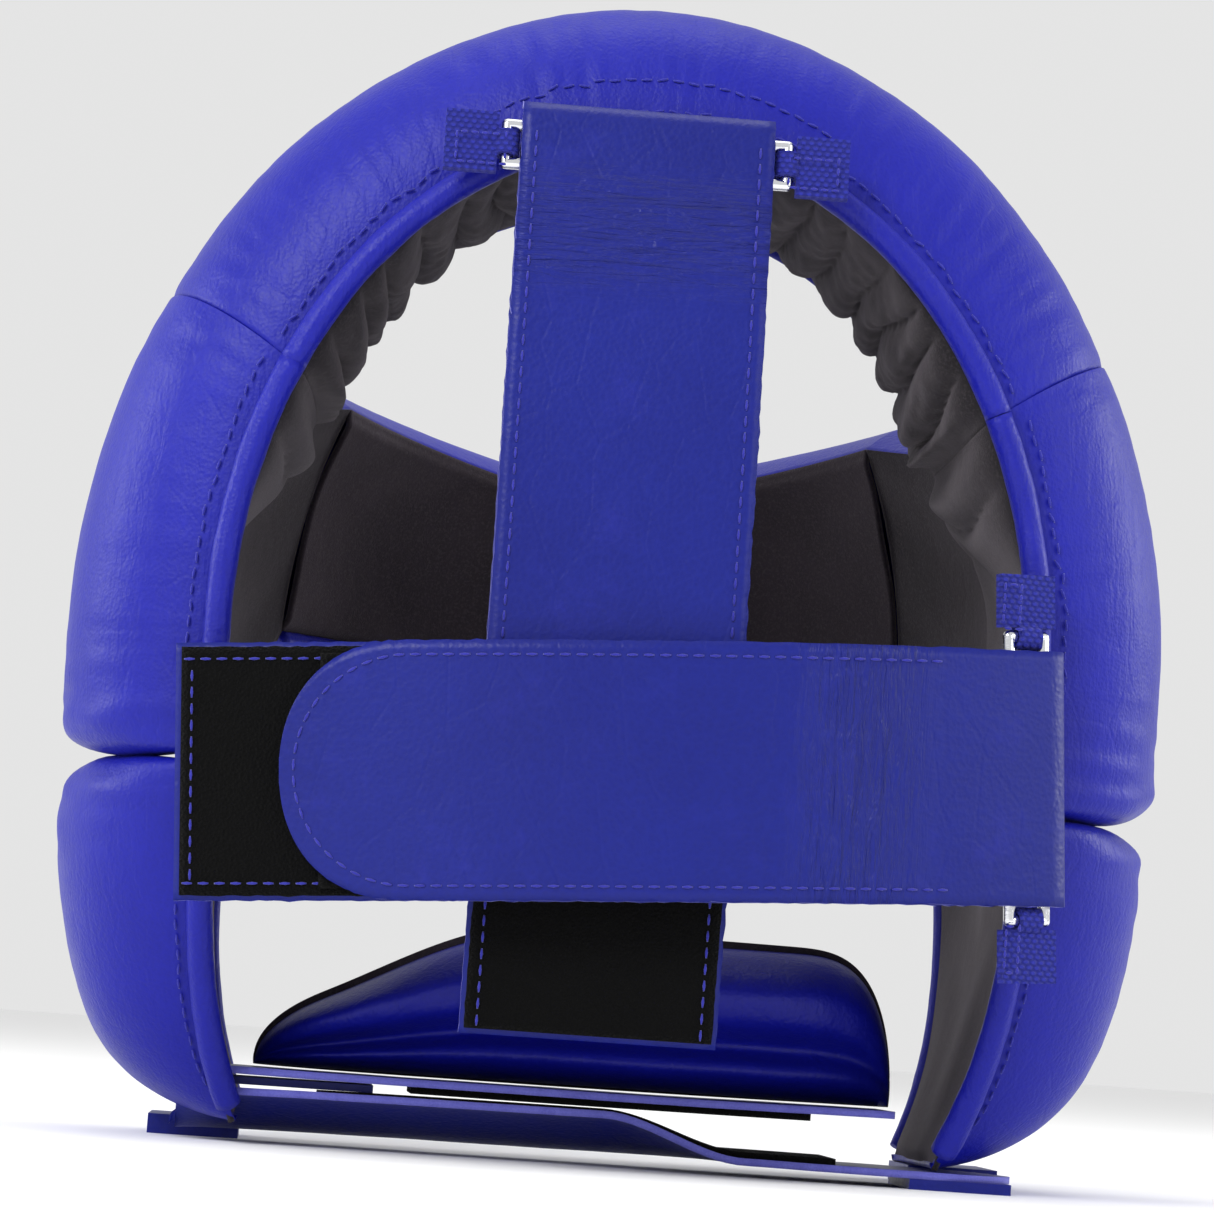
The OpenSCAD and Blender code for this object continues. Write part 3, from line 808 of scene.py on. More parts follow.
@dataclass
class Pad:
    """A padded panel: leather outside, suede inside, with the foam between them."""

    form: HeadForm
    zone: Zone
    node: str
    mirrored: bool = False
    seam_kept: float = 0.985
    skin: float = 0.0013
    lip: float = 0.0060

    SIDE_A = 36.0
    SEAM_RISE = 30.0
    PINCH = 28.0
    FACE_RISE = 4.0
    EAR_A = -8.0
    EAR_HALF = 13.0
    EAR_GAP = 13.0
    BROW_DIP = 8.8

    def ear(self, a: float) -> float:
        """Share of the ear opening at a plan angle."""
        return math.exp(-(((a - self.EAR_A) / self.EAR_HALF) ** 2))

    def at(self, s: float, q: float, t: float) -> Vector:
        """Point of the pad at s from rear to front and q from low to high."""
        form = self.form
        rear = -form.rear_edge / form.back_step
        if self.zone is Zone.CROWN:
            y = lerp(-form.rear_edge, form.crown_front, s)
            point = form.crown(y, lerp(self.SEAM_RISE, 180 - self.SEAM_RISE, q), t)
        elif self.zone is Zone.BROW:
            a = lerp(self.SIDE_A, 180 - self.SIDE_A, s)
            edge = abs(math.cos(math.radians(a))) / math.cos(math.radians(self.SIDE_A))
            top = self.SEAM_RISE + self.FACE_RISE - self.BROW_DIP * (1 - edge)
            point = form.side(a, lerp(self.FACE_RISE, top, q), t)
        elif self.zone is Zone.TEMPLE:
            a = lerp(rear, self.SIDE_A, s)
            ahead = max(0.0, min(1.0, a / self.SIDE_A))
            low = -self.PINCH + self.EAR_GAP * self.ear(a) + (self.PINCH + self.FACE_RISE) * ahead ** 1.5
            point = form.side(a, lerp(low, self.SEAM_RISE + self.FACE_RISE * ahead, q), t)
        else:
            low = node_box("left_jaw_cover")[0][2] / MM - form.equator / MM
            v0 = lerp(low, -self.PINCH - 3, q)
            drop = max(0.0, min(1.0, (-v0 - self.PINCH) / (form.equator / MM - self.PINCH)))
            back = rear + 0.034 / form.back_step * drop ** 1.6
            a = lerp(back, lerp(24, 10, drop), s)
            point = form.side(a, lerp(low, -self.PINCH - 3 - self.EAR_GAP * self.ear(a), q), t)
        if self.mirrored:
            point.x = -point.x
        return point

    def kept(self) -> tuple[float, float, float, float]:
        """Thickness kept at the rear, front, low and high edges."""
        seam = self.seam_kept
        return {Zone.CROWN: (0, 0, seam, seam), Zone.BROW: (seam, seam, 0, 0),
                Zone.TEMPLE: (0, seam, 0, seam), Zone.JAW: (0, 0, 0, 0)}[self.zone]

    def puckers(self, s: float, q: float, full: float) -> float:
        """Small gathers of the leather near its sewn edges, as a share of the pad."""
        place = self.at(s, q, 1.0) * 1000
        near = math.exp(-full * 5.0)
        gathers = ripple(place.x * 0.10, place.z * 0.16, place.y * 0.03 + 7.0)
        slack = ripple(place.x * 0.03, place.z * 0.045, place.y * 0.03)
        fine = ripple(place.x * 0.25 + 9, place.z * 0.25, place.y * 0.12)
        pinch = math.exp(-abs(place.z - 80.0) / 11.0) if self.zone in (Zone.TEMPLE, Zone.JAW) else 0.0
        folds = ripple(place.z * 0.22, place.y * 0.07, place.x * 0.02 + 3.0)
        rim = math.exp(-((place.y / 1000 - self.form.shift + self.form.rear_edge) / 0.012) ** 2)
        radial = ripple(math.atan2(place.z - 115, place.x) * 34, place.y * 0.05, 11.0)
        spread = near * 0.05 * gathers + 0.014 * slack + 0.005 * fine
        return spread + pinch * 0.08 * folds + rim * 0.03 * radial

    def cover_point(self, s: float, q: float) -> Vector:
        """Point of the leather face."""
        kept = self.kept()
        low, high = {Zone.TEMPLE: (16.0, 3.6), Zone.JAW: (3.6, 16.0)}.get(self.zone, (3.6, 3.6))
        across = s
        top_kept, lip = kept[3], self.lip
        if self.zone is Zone.TEMPLE:
            whole = self.form.rear_edge + self.form.crown_front
            y = self.at(s, q, 0).y - self.form.shift
            if s < 0.5:
                across = min(0.5, max(0.0, (y + self.form.rear_edge) / whole))
            ahead = smoothstep(s, 0.55, 1.0)
            top_kept *= swell(max(0.5, min(1.0, (y + self.form.rear_edge) / whole)), 0, 0)
            low, lip = lerp(low, high, ahead), lip * (1 - ahead)
        full = swell(across, kept[0], kept[1]) * swell(q, kept[2], top_kept, low, high)
        if self.zone is Zone.CROWN:
            seam = min(q, 1 - q) * 0.29
        else:
            seam = 1.0
        groove = 0.02 * math.exp(-((seam / 0.0022) ** 2))
        share = full + self.puckers(s, q, full) * smoothstep(full, 0.0, 0.2) - groove
        share = max(0.0, min(share, 1.02))
        point = self.at(s, q, share)
        if self.zone is Zone.TEMPLE:
            point.z -= lip * share * math.exp(-q / 0.05)
        elif self.zone is Zone.JAW:
            point.z += lip * share * math.exp((q - 1) / 0.05)
        return point

    def lining_point(self, s: float, q: float) -> Vector:
        """Point of the suede face, inside the head opening."""
        edge = math.sin(math.pi * max(0.0, min(1.0, s))) ** 0.5
        deep = (self.at(s, q, 0.0).y - self.form.shift + self.form.rear_edge) / (
            self.form.rear_edge + self.form.crown_front)
        arch = math.sin(math.pi * max(0.0, min(1.0, deep))) ** 0.5
        sides = smoothstep(q, 0.0, 0.06) * smoothstep(1 - q, 0.0, 0.06)
        base = self.at(s, q, 0.0)
        bulge = 0.0
        if self.zone is Zone.CROWN:
            inset = min(q, 1 - q)
            near_seam = math.exp(-((inset / 0.21) ** 2))
            wander = 0.55 * ripple(q * 9.0, s * 2.2, 4.0)
            phase = (q * 19.0 + wander) * math.pi
            lobes = abs(math.sin(phase)) ** 0.55 * (0.75 + 0.5 * ripple(q * 6.0, s * 3.0))
            wrinkle = 0.10 * ripple(q * 60.0, s * 14.0, 2.0)
            folds = 0.0066 * (lobes + wrinkle) * smoothstep(inset, 0.0, 0.03)
            bulge = arch * (folds + 0.0120 * near_seam)
        elif self.zone is Zone.TEMPLE:
            high = smoothstep(q, 0.45, 1.0)
            wave = ripple(s * 3.0, q * 3.5, 1.0)
            pleat = abs(math.sin((q * 7.0 + 0.8 * ripple(s * 2.5, q * 4.0)) * math.pi)) ** 0.6
            pleat *= 1 - smoothstep(q, 0.92, 1.0)
            loose = edge * smoothstep(q, 0.0, 0.05) * (1 - smoothstep(q, 0.9, 1.0))
            bulge = arch * high * (0.0120 + 0.003 * pleat) + loose * 0.0016 * (1 + wave)
        elif self.zone is Zone.BROW:
            bulge = 0.0018 * sides * (1 + 0.6 * ripple(s * 5.0, q * 2.5))
        else:
            bulge = edge * sides * 0.0035 * (1 + 0.6 * ripple(s * 3.0, q * 3.0, 8.0))
        inward = (self.at(s, q, 0.0) - self.at(s, q, 0.2)).normalized()
        return base + inward * bulge

    def build(self, finishes: Finishes) -> None:
        """Makes the leather and the suede.

        Args:
            finishes: the materials.
        """
        sizes = {Zone.CROWN: (72, 220, 0.088, 0.30), Zone.BROW: (170, 60, 0.19, 0.07),
                 Zone.TEMPLE: (150, 96, 0.15, 0.10), Zone.JAW: (120, 80, 0.11, 0.075)}[self.zone]
        columns, rows, length, width = sizes

        def outer(s: float, q: float) -> Vector:
            """Leather point on the eased grid."""
            return self.cover_point(eased(s), eased(q) if self.zone is not Zone.CROWN else q)

        cover = new_piece(f"{self.node}_leather", draped_grid(outer, columns, rows, length, width),
                          finishes.pad)
        # The forehead lining takes the paler suede copy, whose extra brightness is painted light.
        lining = new_piece(f"{self.node}_suede", draped_grid(self.lining_point, columns, rows, length, width),
                           finishes.lit_suede if self.zone is Zone.BROW else finishes.suede)
        for piece, sign in ((cover, 1), (lining, -1)):
            self.face_out(piece, sign)
            thicken(piece, self.skin)
            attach(piece, SHELL)
        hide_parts(f"{self.node}_cover", f"{self.node}_foam")
        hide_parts(f"{self.node}_lining")
        log.info("pad %s", self.node)

    def face_out(self, piece: bpy.types.Object, sign: int) -> None:
        """Turns a skin's faces away from the foam.

        Args:
            piece: the skin.
            sign: 1 for the leather, -1 for the suede.
        """
        mesh = piece.data
        middle = self.at(0.5, 0.5, 1.0) - self.at(0.5, 0.5, 0.0)
        bm = bmesh.new()
        bm.from_mesh(mesh)
        bm.faces.ensure_lookup_table()
        nearest = min(bm.faces, key=lambda f: (f.calc_center_median() - self.at(0.5, 0.5, 1.0)).length)
        if nearest.normal.dot(middle) * sign < 0:
            bmesh.ops.reverse_faces(bm, faces=bm.faces)
        bm.to_mesh(mesh)
        bm.free()


@dataclass
class Rim:
    """The rolled leather rim round the rear opening, or a bound edge."""

    name: str
    path: list[Vector]
    radius: float
    lumps: float = 0.07

    def build(self, finishes: Finishes) -> bpy.types.Object:
        """Makes the roll.

        Args:
            finishes: the materials.

        Returns:
            The roll.
        """
        bm = tube(self.path, lambda u: self.radius)
        for vert in bm.verts:
            place = vert.co * 1000
            lump = ripple(place.x * 0.09, place.z * 0.13, place.y * 0.2)
            fine = ripple(place.x * 0.5, place.z * 0.5, place.y * 0.5 + 5)
            vert.co += vert.normal * self.radius * (self.lumps * lump + 0.03 * fine - self.lumps * 0.5)
        piece = new_piece(f"{self.name}_roll", bm, finishes.roll)
        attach(piece, SHELL)
        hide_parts(self.name)
        log.info("edge %s", self.name)
        return piece


@dataclass
class Shell:
    """All pads and edges of the padded shell."""

    form: HeadForm
    rim_radius: float = 0.003
    binding: float = 0.0018

    def pads(self) -> list[Pad]:
        """The six pads."""
        form = self.form
        return [Pad(form, Zone.CROWN, "crown"), Pad(form, Zone.BROW, "forehead"),
                Pad(form, Zone.TEMPLE, "right_temple"), Pad(form, Zone.TEMPLE, "left_temple", True),
                Pad(form, Zone.JAW, "right_jaw"), Pad(form, Zone.JAW, "left_jaw", True)]

    def build(self, finishes: Finishes) -> None:
        """Builds the pads, the rolled rim and the bound edges.

        Args:
            finishes: the materials.
        """
        pads = self.pads()
        for pad in pads:
            pad.build(finishes)
        self.rims(pads, finishes)
        self.bindings(pads, finishes)
        self.seams(pads, finishes)

    def rims(self, pads: list[Pad], finishes: Finishes) -> None:
        """Rolls the rear opening's rim along the pads' rear edges.

        Args:
            pads: the pads.
            finishes: the materials.
        """
        back = Vector((0, -self.rim_radius * 0.8, 0))
        crown = [pads[0].at(0, i / 150, 0) + back for i in range(151)]
        Rim("crown_rim", crown, self.rim_radius).build(finishes)
        for temple, jaw, name in ((pads[2], pads[4], "right_rim"), (pads[3], pads[5], "left_rim")):
            path = [temple.at(0, 1 - i / 60, 0) + back for i in range(61)]
            path += [jaw.at(0, 1 - i / 60, 0) + back for i in range(1, 58)]
            Rim(name, path, self.rim_radius).build(finishes)

    def bindings(self, pads: list[Pad], finishes: Finishes) -> None:
        """Binds the front edges.

        Args:
            pads: the pads.
            finishes: the materials.
        """
        forward = Vector((0, self.binding * 0.8, 0))
        Rim("crown_front_binding", [pads[0].at(1, i / 90, 0) + forward for i in range(3, 88)],
            self.binding).build(finishes)
        down = Vector((0, 0, self.binding * 0.8))
        Rim("brow_binding", [pads[1].at(i / 90, 0, 0) - down for i in range(91)],
            self.binding).build(finishes)
        for jaw, name in ((pads[4], "right_face_binding"), (pads[5], "left_face_binding")):
            Rim(name, [jaw.at(1, i / 50, 0) + forward for i in range(2, 49)], self.binding).build(finishes)

    def seams(self, pads: list[Pad], finishes: Finishes) -> None:
        """Sews the visible stitch lines of the shell.

        Args:
            pads: the pads.
            finishes: the materials.
        """
        back = Vector((0, -1, 0))
        crown = pads[0]
        arch = [(0.018 + 0.004 * math.cos((i / 60 - 0.5) * math.pi), 0.30 + 0.40 * i / 60) for i in range(61)]
        sew("crown_panel_stitches", crown.cover_point, arch, finishes.thread, SHELL, 0.0003, back)
        edge = 0.0045
        sew("crown_rim_stitches", crown.cover_point, [(edge, i / 200) for i in range(2, 199)],
            finishes.thread, SHELL, 0.0006, back)
        for pad in pads[2:]:
            sew(f"{pad.node}_rim_stitches", pad.cover_point, [(edge, i / 100) for i in range(3, 98)],
                finishes.thread, SHELL, 0.0006, back)


# ---- Straps ------------------------------------------------------------------------


@dataclass
class StrapFrame:
    """Where a strap's layers lie: a curve in plan or in side view, and its width direction."""

    centre: Vector
    radius: float
    out: Vector
    along: Vector
    wide: Vector
    straight: float = -90.0

    def at(self, run: float, across: float, depth: float) -> Vector:
        """Point of the strap.

        Args:
            run: length from the curve's own zero, in metres.
            across: place across the width, in metres.
            depth: distance outside the strap's inner face, in metres.

        Returns:
            The point.
        """
        turn = run / self.radius
        limit = math.radians(self.straight)
        extra = 0.0
        if turn < limit:
            extra = (turn - limit) * self.radius
            turn = limit
        reach = self.radius + depth
        flat = self.out * (reach * math.cos(turn)) + self.along * (reach * math.sin(turn))
        flat += (self.along * math.cos(turn) - self.out * math.sin(turn)) * extra
        return self.centre + flat + self.wide * across


@dataclass
class Strip:
    """One flat layer of a strap, cut to shape, with stitches near its edges."""

    name: str
    frame: StrapFrame
    start: float
    end: float
    width: float
    depth: float
    thickness: float
    body: str
    nodes: tuple[str, ...]
    slot: str
    round_start: bool = False
    waves: float = 0.0
    fold: float = 0.0
    tilt: float = 0.0
    tilt_from: float = 0.003
    tilt_to: float = 0.034
    round_end: bool = False
    fray: float = 0.00034

    def half_width(self, run: float) -> float:
        """Half-width of the cut at a place along the strap."""
        half = self.width / 2
        if self.round_start and run < self.start + half:
            back = min(1.0, (self.start + half - run) / half)
            return half * max(0.10, math.sqrt(max(0.0, 1 - back ** 2.3)) ** 0.92)
        if self.round_end and run > self.end - half:
            return half * max(0.10, math.sqrt(max(0.0, 1 - ((run - self.end + half) / half) ** 2)))
        return half

    def point(self, s: float, q: float) -> Vector:
        """Point of the strip's inner face, s along it and q across it."""
        length = self.end - self.start
        run = self.start + length * s
        side = 2 * q - 1
        across = self.half_width(run) * side
        at_edge = abs(side) ** 30 * (self.half_width(run) * 2 / self.width) ** 3
        threads = ripple(run * 900, side * 3) + 0.6 * ripple(run * 2600, side * 5)
        fray = self.fray * at_edge * threads
        depth = self.depth
        if self.waves:
            bow = ripple(run * 28, across * 22, self.depth * 100) + 0.4 * ripple(run * 90, across * 60, 3)
            depth += self.waves * (bow + 0.3)
        kept = 1 - smoothstep(run, self.tilt_from, self.tilt_to)
        depth += self.tilt * smoothstep(1 - q, 0.1, 1.0) * kept
        turn_start = self.end - self.fold * math.pi / 2
        if self.fold and run > turn_start:
            angle = (run - turn_start) / self.fold
            return self.frame.at(turn_start + self.fold * math.sin(angle), across + fray,
                                 depth - self.fold * (1 - math.cos(angle)))
        return self.frame.at(run, across + fray, depth)

    def eased_start(self, s: float) -> float:
        """Crowds the grid towards a round start."""
        return s ** 1.8 if self.round_start else s

    def build(self, material: bpy.types.Material, edge: bpy.types.Material, rows: int = 26,
              step: float = 0.0016) -> bpy.types.Object:
        """Cuts the strip.

        Args:
            material: its face.
            edge: its cut edge.
            rows: faces across it.
            step: length of a face along it.

        Returns:
            The strip.
        """
        length = self.end - self.start
        columns = int(length / step)

        def surface(s: float, q: float) -> Vector:
            """Point on the crowded grid."""
            return self.point(self.eased_start(s), q)

        piece = new_piece(self.name, draped_grid(surface, columns, rows, length, self.width), material)
        middle = (self.start + self.end) / 2
        out = self.frame.at(middle, 0, 1) - self.frame.at(middle, 0, 0)
        if piece.data.polygons[len(piece.data.polygons) // 2].normal.dot(out) < 0:
            piece.data.flip_normals()
        thicken(piece, self.thickness, edge, 1.0, False)
        if self.body:
            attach(piece, self.body)
        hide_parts(*self.nodes)
        log.info("strap layer %s", self.name)
        return piece

    def sew_sides(self, finishes: Finishes, inset: float, first: float, last: float) -> None:
        """Sews a row along each long edge, and round a round end.

        Args:
            finishes: the materials.
            inset: distance in from the edge.
            first: where the rows begin, as a share of the length.
            last: where they end.
        """
        def outer(s: float, q: float) -> Vector:
            """Outer face of the strip."""
            run = self.start + (self.end - self.start) * s
            out = (self.frame.at(run, 0, 1) - self.frame.at(run, 0, 0)).normalized()
            return self.point(s, q) + out * self.thickness

        share = inset / self.width
        count = 160
        out = self.frame.at(self.start, 0, 1) - self.frame.at(self.start, 0, 0)
        if self.round_start:
            length = self.end - self.start
            half = self.width / 2
            turn = [(self.start + half - (half - inset) * math.sin(math.pi * i / 40),
                     (half - inset) * math.cos(math.pi * i / 40)) for i in range(41)]
            points = [((run - self.start) / length,
                       0.5 + 0.5 * across / max(self.half_width(run), 1e-5)) for run, across in turn]
            rest = [half / length + (last - half / length) * i / count for i in range(1, count)]
            points = [(s, 1 - share) for s in reversed(rest)] + points + [(s, share) for s in rest]
            sew(f"{self.name}_stitches", outer, points, finishes.thread, self.body, 0.0002, out)
            return
        for side, q in (("upper", 1 - share), ("lower", share)):
            points = [(lerp(first, last, i / count), q) for i in range(count + 1)]
            sew(f"{self.name}_stitches_{side}", outer, points, finishes.thread, self.body, 0.0002, out)


@dataclass
class Layers:
    """Thicknesses shared by every folded strap."""

    leather: float = 0.0016
    loop: float = 0.0015
    hook: float = 0.0013
    grip: float = 0.0003
    width: float = 0.053
    inset: float = 0.0015

    @property
    def hook_at(self) -> float:
        """Depth of the hook tape's inner face."""
        return self.leather + self.loop + self.grip

    @property
    def flap_at(self) -> float:
        """Depth of the folded-back leather's inner face."""
        return self.hook_at + self.hook

    @property
    def tape(self) -> float:
        """Width of both tapes."""
        return self.width - 2 * self.inset


@dataclass
class RearStrap:
    """The closing strap across the back, folded round its ring on the right."""

    layers: Layers
    radius: float = 0.206
    slant: float = 3.7
    straight: float = -11.5
    left_end: float = -0.0945
    straight_gain: float = 0.05
    tip_play: float = 0.0008
    bend_before: float = 0.003
    bend_after: float = 0.010
    fold_reach: float = 0.0058
    hinge_reach: float = 0.0098

    def frame(self) -> StrapFrame:
        """The strap's curve, placed from the flap's own box."""
        low, _ = node_box("rear_flap")
        base_low, base_high = node_box("rear_strap_base")
        turn = math.radians(self.slant)
        middle = (base_low[2] + base_high[2]) / 2
        centre = Vector((0, low[1] + self.radius + self.layers.flap_at + self.layers.leather, 0))
        centre.z = middle - (base_low[0] + base_high[0]) / 2 * math.sin(turn)
        along = Vector((math.cos(turn), 0, math.sin(turn)))
        wide = Vector((-math.sin(turn), 0, math.cos(turn)))
        return StrapFrame(centre, self.radius, Vector((0, -1, 0)), along, wide, self.straight)

    def build(self, finishes: Finishes) -> None:
        """Builds all its layers and stitches.

        Args:
            finishes: the materials.
        """
        layers = self.layers
        curve = self.frame()
        ring = node_box("side_ring")
        ring_x = (ring[0][0] + ring[1][0]) / 2
        at_ring = self.radius * math.asin(ring_x / (self.radius + layers.flap_at / 2 + layers.leather / 2))
        turn = layers.flap_at / 2
        left = self.left_end + (1 - math.cos(math.radians(self.straight))) * self.straight_gain
        end = at_ring + self.fold_reach
        base = Strip("rear_strap_inner", curve, left, end, layers.width, 0.0, layers.leather, SHELL,
                     ("rear_strap_base",), "strap_leather")
        base.build(finishes.strap, finishes.edge)
        loop = Strip("rear_loop_pile", curve, left + 0.0015, at_ring - 0.0112, layers.tape + 0.001,
                     layers.leather, layers.loop, SHELL, ("rear_loop_tape",), "loop_tape", waves=0.00008)
        loop.build(finishes.loop, finishes.loop)
        loop.sew_sides(finishes, 0.0025, 0.0, 1.0)
        points = [(0.012, 0.05 + 0.9 * i / 60) for i in range(61)]
        sew("rear_loop_pile_end_stitches", lambda s, q: loop.point(s, q) + curve.out * layers.loop, points,
            finishes.thread, SHELL, 0.0003, curve.out)
        tip = node_box("rear_flap")[0][0] - self.tip_play
        flap = Strip("rear_strap_outer", curve, tip, end + turn * math.pi / 2, layers.width,
                     layers.flap_at, layers.leather, "", ("rear_flap",), "strap_leather", True,
                     waves=0.00035, fold=turn)
        piece = flap.build(finishes.rear_strap, finishes.edge)
        hinge = at_ring - self.hinge_reach
        near = layers.flap_at + layers.leather / 2
        tuple(curve.at(hinge + self.bend_before, 0, near))
        tuple(curve.at(hinge - self.bend_after, 0, near))
        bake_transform(piece)
        flap.body = REAR_END
        flap.sew_sides(finishes, 0.003, 0.0, (hinge - self.bend_after - tip) / (flap.end - tip))
        hook = Strip("rear_hook_pile", curve, tip + 0.008, at_ring - 0.0145, layers.tape - 0.002,
                     layers.hook_at, layers.hook, REAR_END, ("rear_hook_tape",), "hook_tape")
        hook.build(finishes.hook, finishes.hook)


@dataclass
class CrownStrap:
    """The vertical strap, folded over the crown ring and tucked behind the rear strap."""

    layers: Layers
    radius: float = 0.790
    height: float = 0.090
    fold_reach: float = 0.0058

    def frame(self) -> StrapFrame:
        """The strap's curve, placed from its own boxes."""
        low, high = node_box("crown_flap")
        centre = Vector(((low[0] + high[0]) / 2,
                         low[1] + self.radius + self.layers.flap_at + self.layers.leather, self.height))
        return StrapFrame(centre, self.radius, Vector((0, -1, 0)), Vector((0, 0, 1)), Vector((1, 0, 0)))

    def build(self, finishes: Finishes) -> None:
        """Builds all its layers and stitches.

        Args:
            finishes: the materials.
        """
        layers = self.layers
        curve = self.frame()
        ring = node_box("crown_ring")
        ring_z = (ring[0][2] + ring[1][2]) / 2
        at_ring = self.radius * math.asin((ring_z - self.height) / (self.radius + layers.flap_at / 2))
        tail = node_box("crown_strap_base")[0][2] - self.height
        turn = layers.flap_at / 2
        end = at_ring + self.fold_reach
        base = Strip("crown_strap_inner", curve, tail, end, layers.width, 0.0, layers.leather, SHELL,
                     ("crown_strap_base",), "strap_leather")
        base.build(finishes.strap, finishes.edge)
        loop = Strip("crown_loop_pile", curve, tail + 0.0012, at_ring - 0.0112, layers.tape + 0.001,
                     layers.leather, layers.loop, SHELL, ("crown_loop_tape",), "loop_tape", waves=0.00008)
        loop.build(finishes.loop, finishes.loop)
        loop.sew_sides(finishes, 0.0025, 0.0, 0.6)
        tip = node_box("crown_flap")[0][2] - self.height
        flap = Strip("crown_strap_outer", curve, tip, end + turn * math.pi / 2, layers.width,
                     layers.flap_at, layers.leather, SHELL, ("crown_flap",), "strap_leather",
                     waves=0.00025, fold=turn)
        flap.build(finishes.crown_strap, finishes.edge)
        flap.sew_sides(finishes, 0.003, 0.0, 0.955)
        hook_low, hook_high = node_box("crown_hook_tape")
        hook = Strip("crown_hook_pile", curve, hook_low[2] - self.height, hook_high[2] - self.height,
                     layers.tape - 0.002, layers.hook_at, layers.hook, SHELL, ("crown_hook_tape",),
                     "hook_tape")
        hook.build(finishes.hook, finishes.hook)


@dataclass
class ChinStraps:
    """The inner chin strap with its cup, and the outer one below it."""

    layers: Layers
    leather_tilt: float = 0.0080
    pile_tilt: float = 0.0072

    def flat_frame(self, node: str, up: int) -> StrapFrame:
        """A nearly flat curve at a node's face, running along X.

        Args:
            node: the CAD strap.
            up: 1 if depth grows upwards, -1 if downwards.

        Returns:
            The curve.
        """
        low, high = node_box(node)
        radius = 8.0
        face = low[2] if up > 0 else high[2]
        return StrapFrame(Vector((0, (low[1] + high[1]) / 2, face - up * radius)), radius,
                          Vector((0, 0, up)), Vector((1, 0, 0)), Vector((0, 1, 0)))

    def build(self, finishes: Finishes) -> None:
        """Builds both straps.

        Args:
            finishes: the materials.
        """
        layers = self.layers
        for node, name, body, tape, up in (
                ("chin_strap", "chin_inner", CUP_STRAP, "chin_loop_tape", -1),
                ("chin_flap", "chin_outer", CHIN_END, "chin_hook_tape", 1)):
            low, high = node_box(node)
            curve = self.flat_frame(node, up)
            flip = node == "chin_strap"
            leather = Strip(f"{name}_leather", curve, low[0], high[0], high[1] - low[1], 0.0, layers.leather,
                            body, (node,), "strap_leather", not flip, waves=0.00012,
                            tilt=0.0 if flip else self.leather_tilt, round_end=not flip)
            leather.build(finishes.strap, finishes.edge)
            tape_low, tape_high = node_box(tape)
            tape_curve = self.flat_frame(tape, up)
            pile = Strip(f"{name}_pile", tape_curve, tape_low[0], tape_high[0],
                         tape_high[1] - tape_low[1], 0.0, tape_high[2] - tape_low[2], body, (tape,),
                         tape.removeprefix("chin_"), tilt=0.0 if flip else self.pile_tilt)
            finish = finishes.loop if flip else finishes.hook
            pile.build(finish, finish)


@dataclass
class ChinCup:
    """The padded chin cup on the inner chin strap."""

    def height(self, s: float) -> float:
        """Height of the cup's top edge, low at the sewn end and round at the free one."""
        low, high = node_box("chin_cup_cover")
        rise = 0.30 + 0.70 * smoothstep(s, -0.05, 0.42)
        free = math.sqrt(max(0.02, 1 - max(0.0, (s - 0.82) / 0.18) ** 3.5))
        sewn = math.sqrt(max(0.02, 1 - max(0.0, (0.12 - s) / 0.12) ** 3))
        return (high[2] - low[2]) * 0.98 * rise * free * sewn

    def outer_point(self, s: float, q: float) -> Vector:
        """Point of the leather face, s along X and q from low to high."""
        low, high = node_box("chin_cup_cover")
        side = 2 * s - 1
        full = swell(s, 0, 0, 5.0) * swell(q, 0, 0, 2.8)
        ends = math.sqrt(max(0.0, 1 - side ** 6))
        dent = 0.42 * math.exp(-((q - 0.34) / 0.11) ** 2) * ends
        lip = 0.10 * math.exp(-((q - 0.74) / 0.16) ** 2)
        top = self.height(s)
        wave = 0.02 * ripple(s * 9, q * 3) + 0.012 * ripple(s * 26, q * 7, 5)
        depth = (high[1] - low[1] - 0.003) * max(0.0, full * (0.9 - dent + lip + wave))
        x = (low[0] + high[0]) / 2 + (high[0] - low[0]) / 2 * side
        return Vector((x, high[1] - 0.003 * (1 - side * side) - depth, low[2] + top * q))

    def inner_point(self, s: float, q: float) -> Vector:
        """Point of the suede face."""
        low, high = node_box("chin_cup_cover")
        side = 2 * s - 1
        top = self.height(s) + 0.0012
        hollow = 0.004 * math.sin(math.pi * s) * math.sin(math.pi * q)
        x = (low[0] + high[0]) / 2 + (high[0] - low[0]) / 2 * side
        return Vector((x, high[1] - 0.003 * (1 - side * side) - hollow, low[2] + top * q))

    def build(self, finishes: Finishes) -> None:
        """Builds the cup.

        Args:
            finishes: the materials.
        """
        low, high = node_box("chin_cup_cover")
        # The cup's suede face takes the paler suede copy, whose extra brightness is painted light.
        for name, surface, material, out, nodes, slot in (
                ("chin_cup_leather", self.outer_point, finishes.pad, -1, ("chin_cup_cover", "chin_cup_foam"),
                 "leather"),
                ("chin_cup_suede", self.inner_point, finishes.lit_suede, 1, ("chin_cup_lining",), "suede")):
            bm = draped_grid(lambda s, q: surface(eased(s), eased(q)), 120, 48, high[0] - low[0],
                             high[2] - low[2])
            piece = new_piece(name, bm, material)
            if piece.data.polygons[len(piece.data.polygons) // 2].normal.y * out < 0:
                piece.data.flip_normals()
            thicken(piece, 0.0013)
            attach(piece, CUP_STRAP)
            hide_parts(*nodes)
        log.info("chin cup")


# ---- Carried-over pieces, stage and camera -----------------------------------------


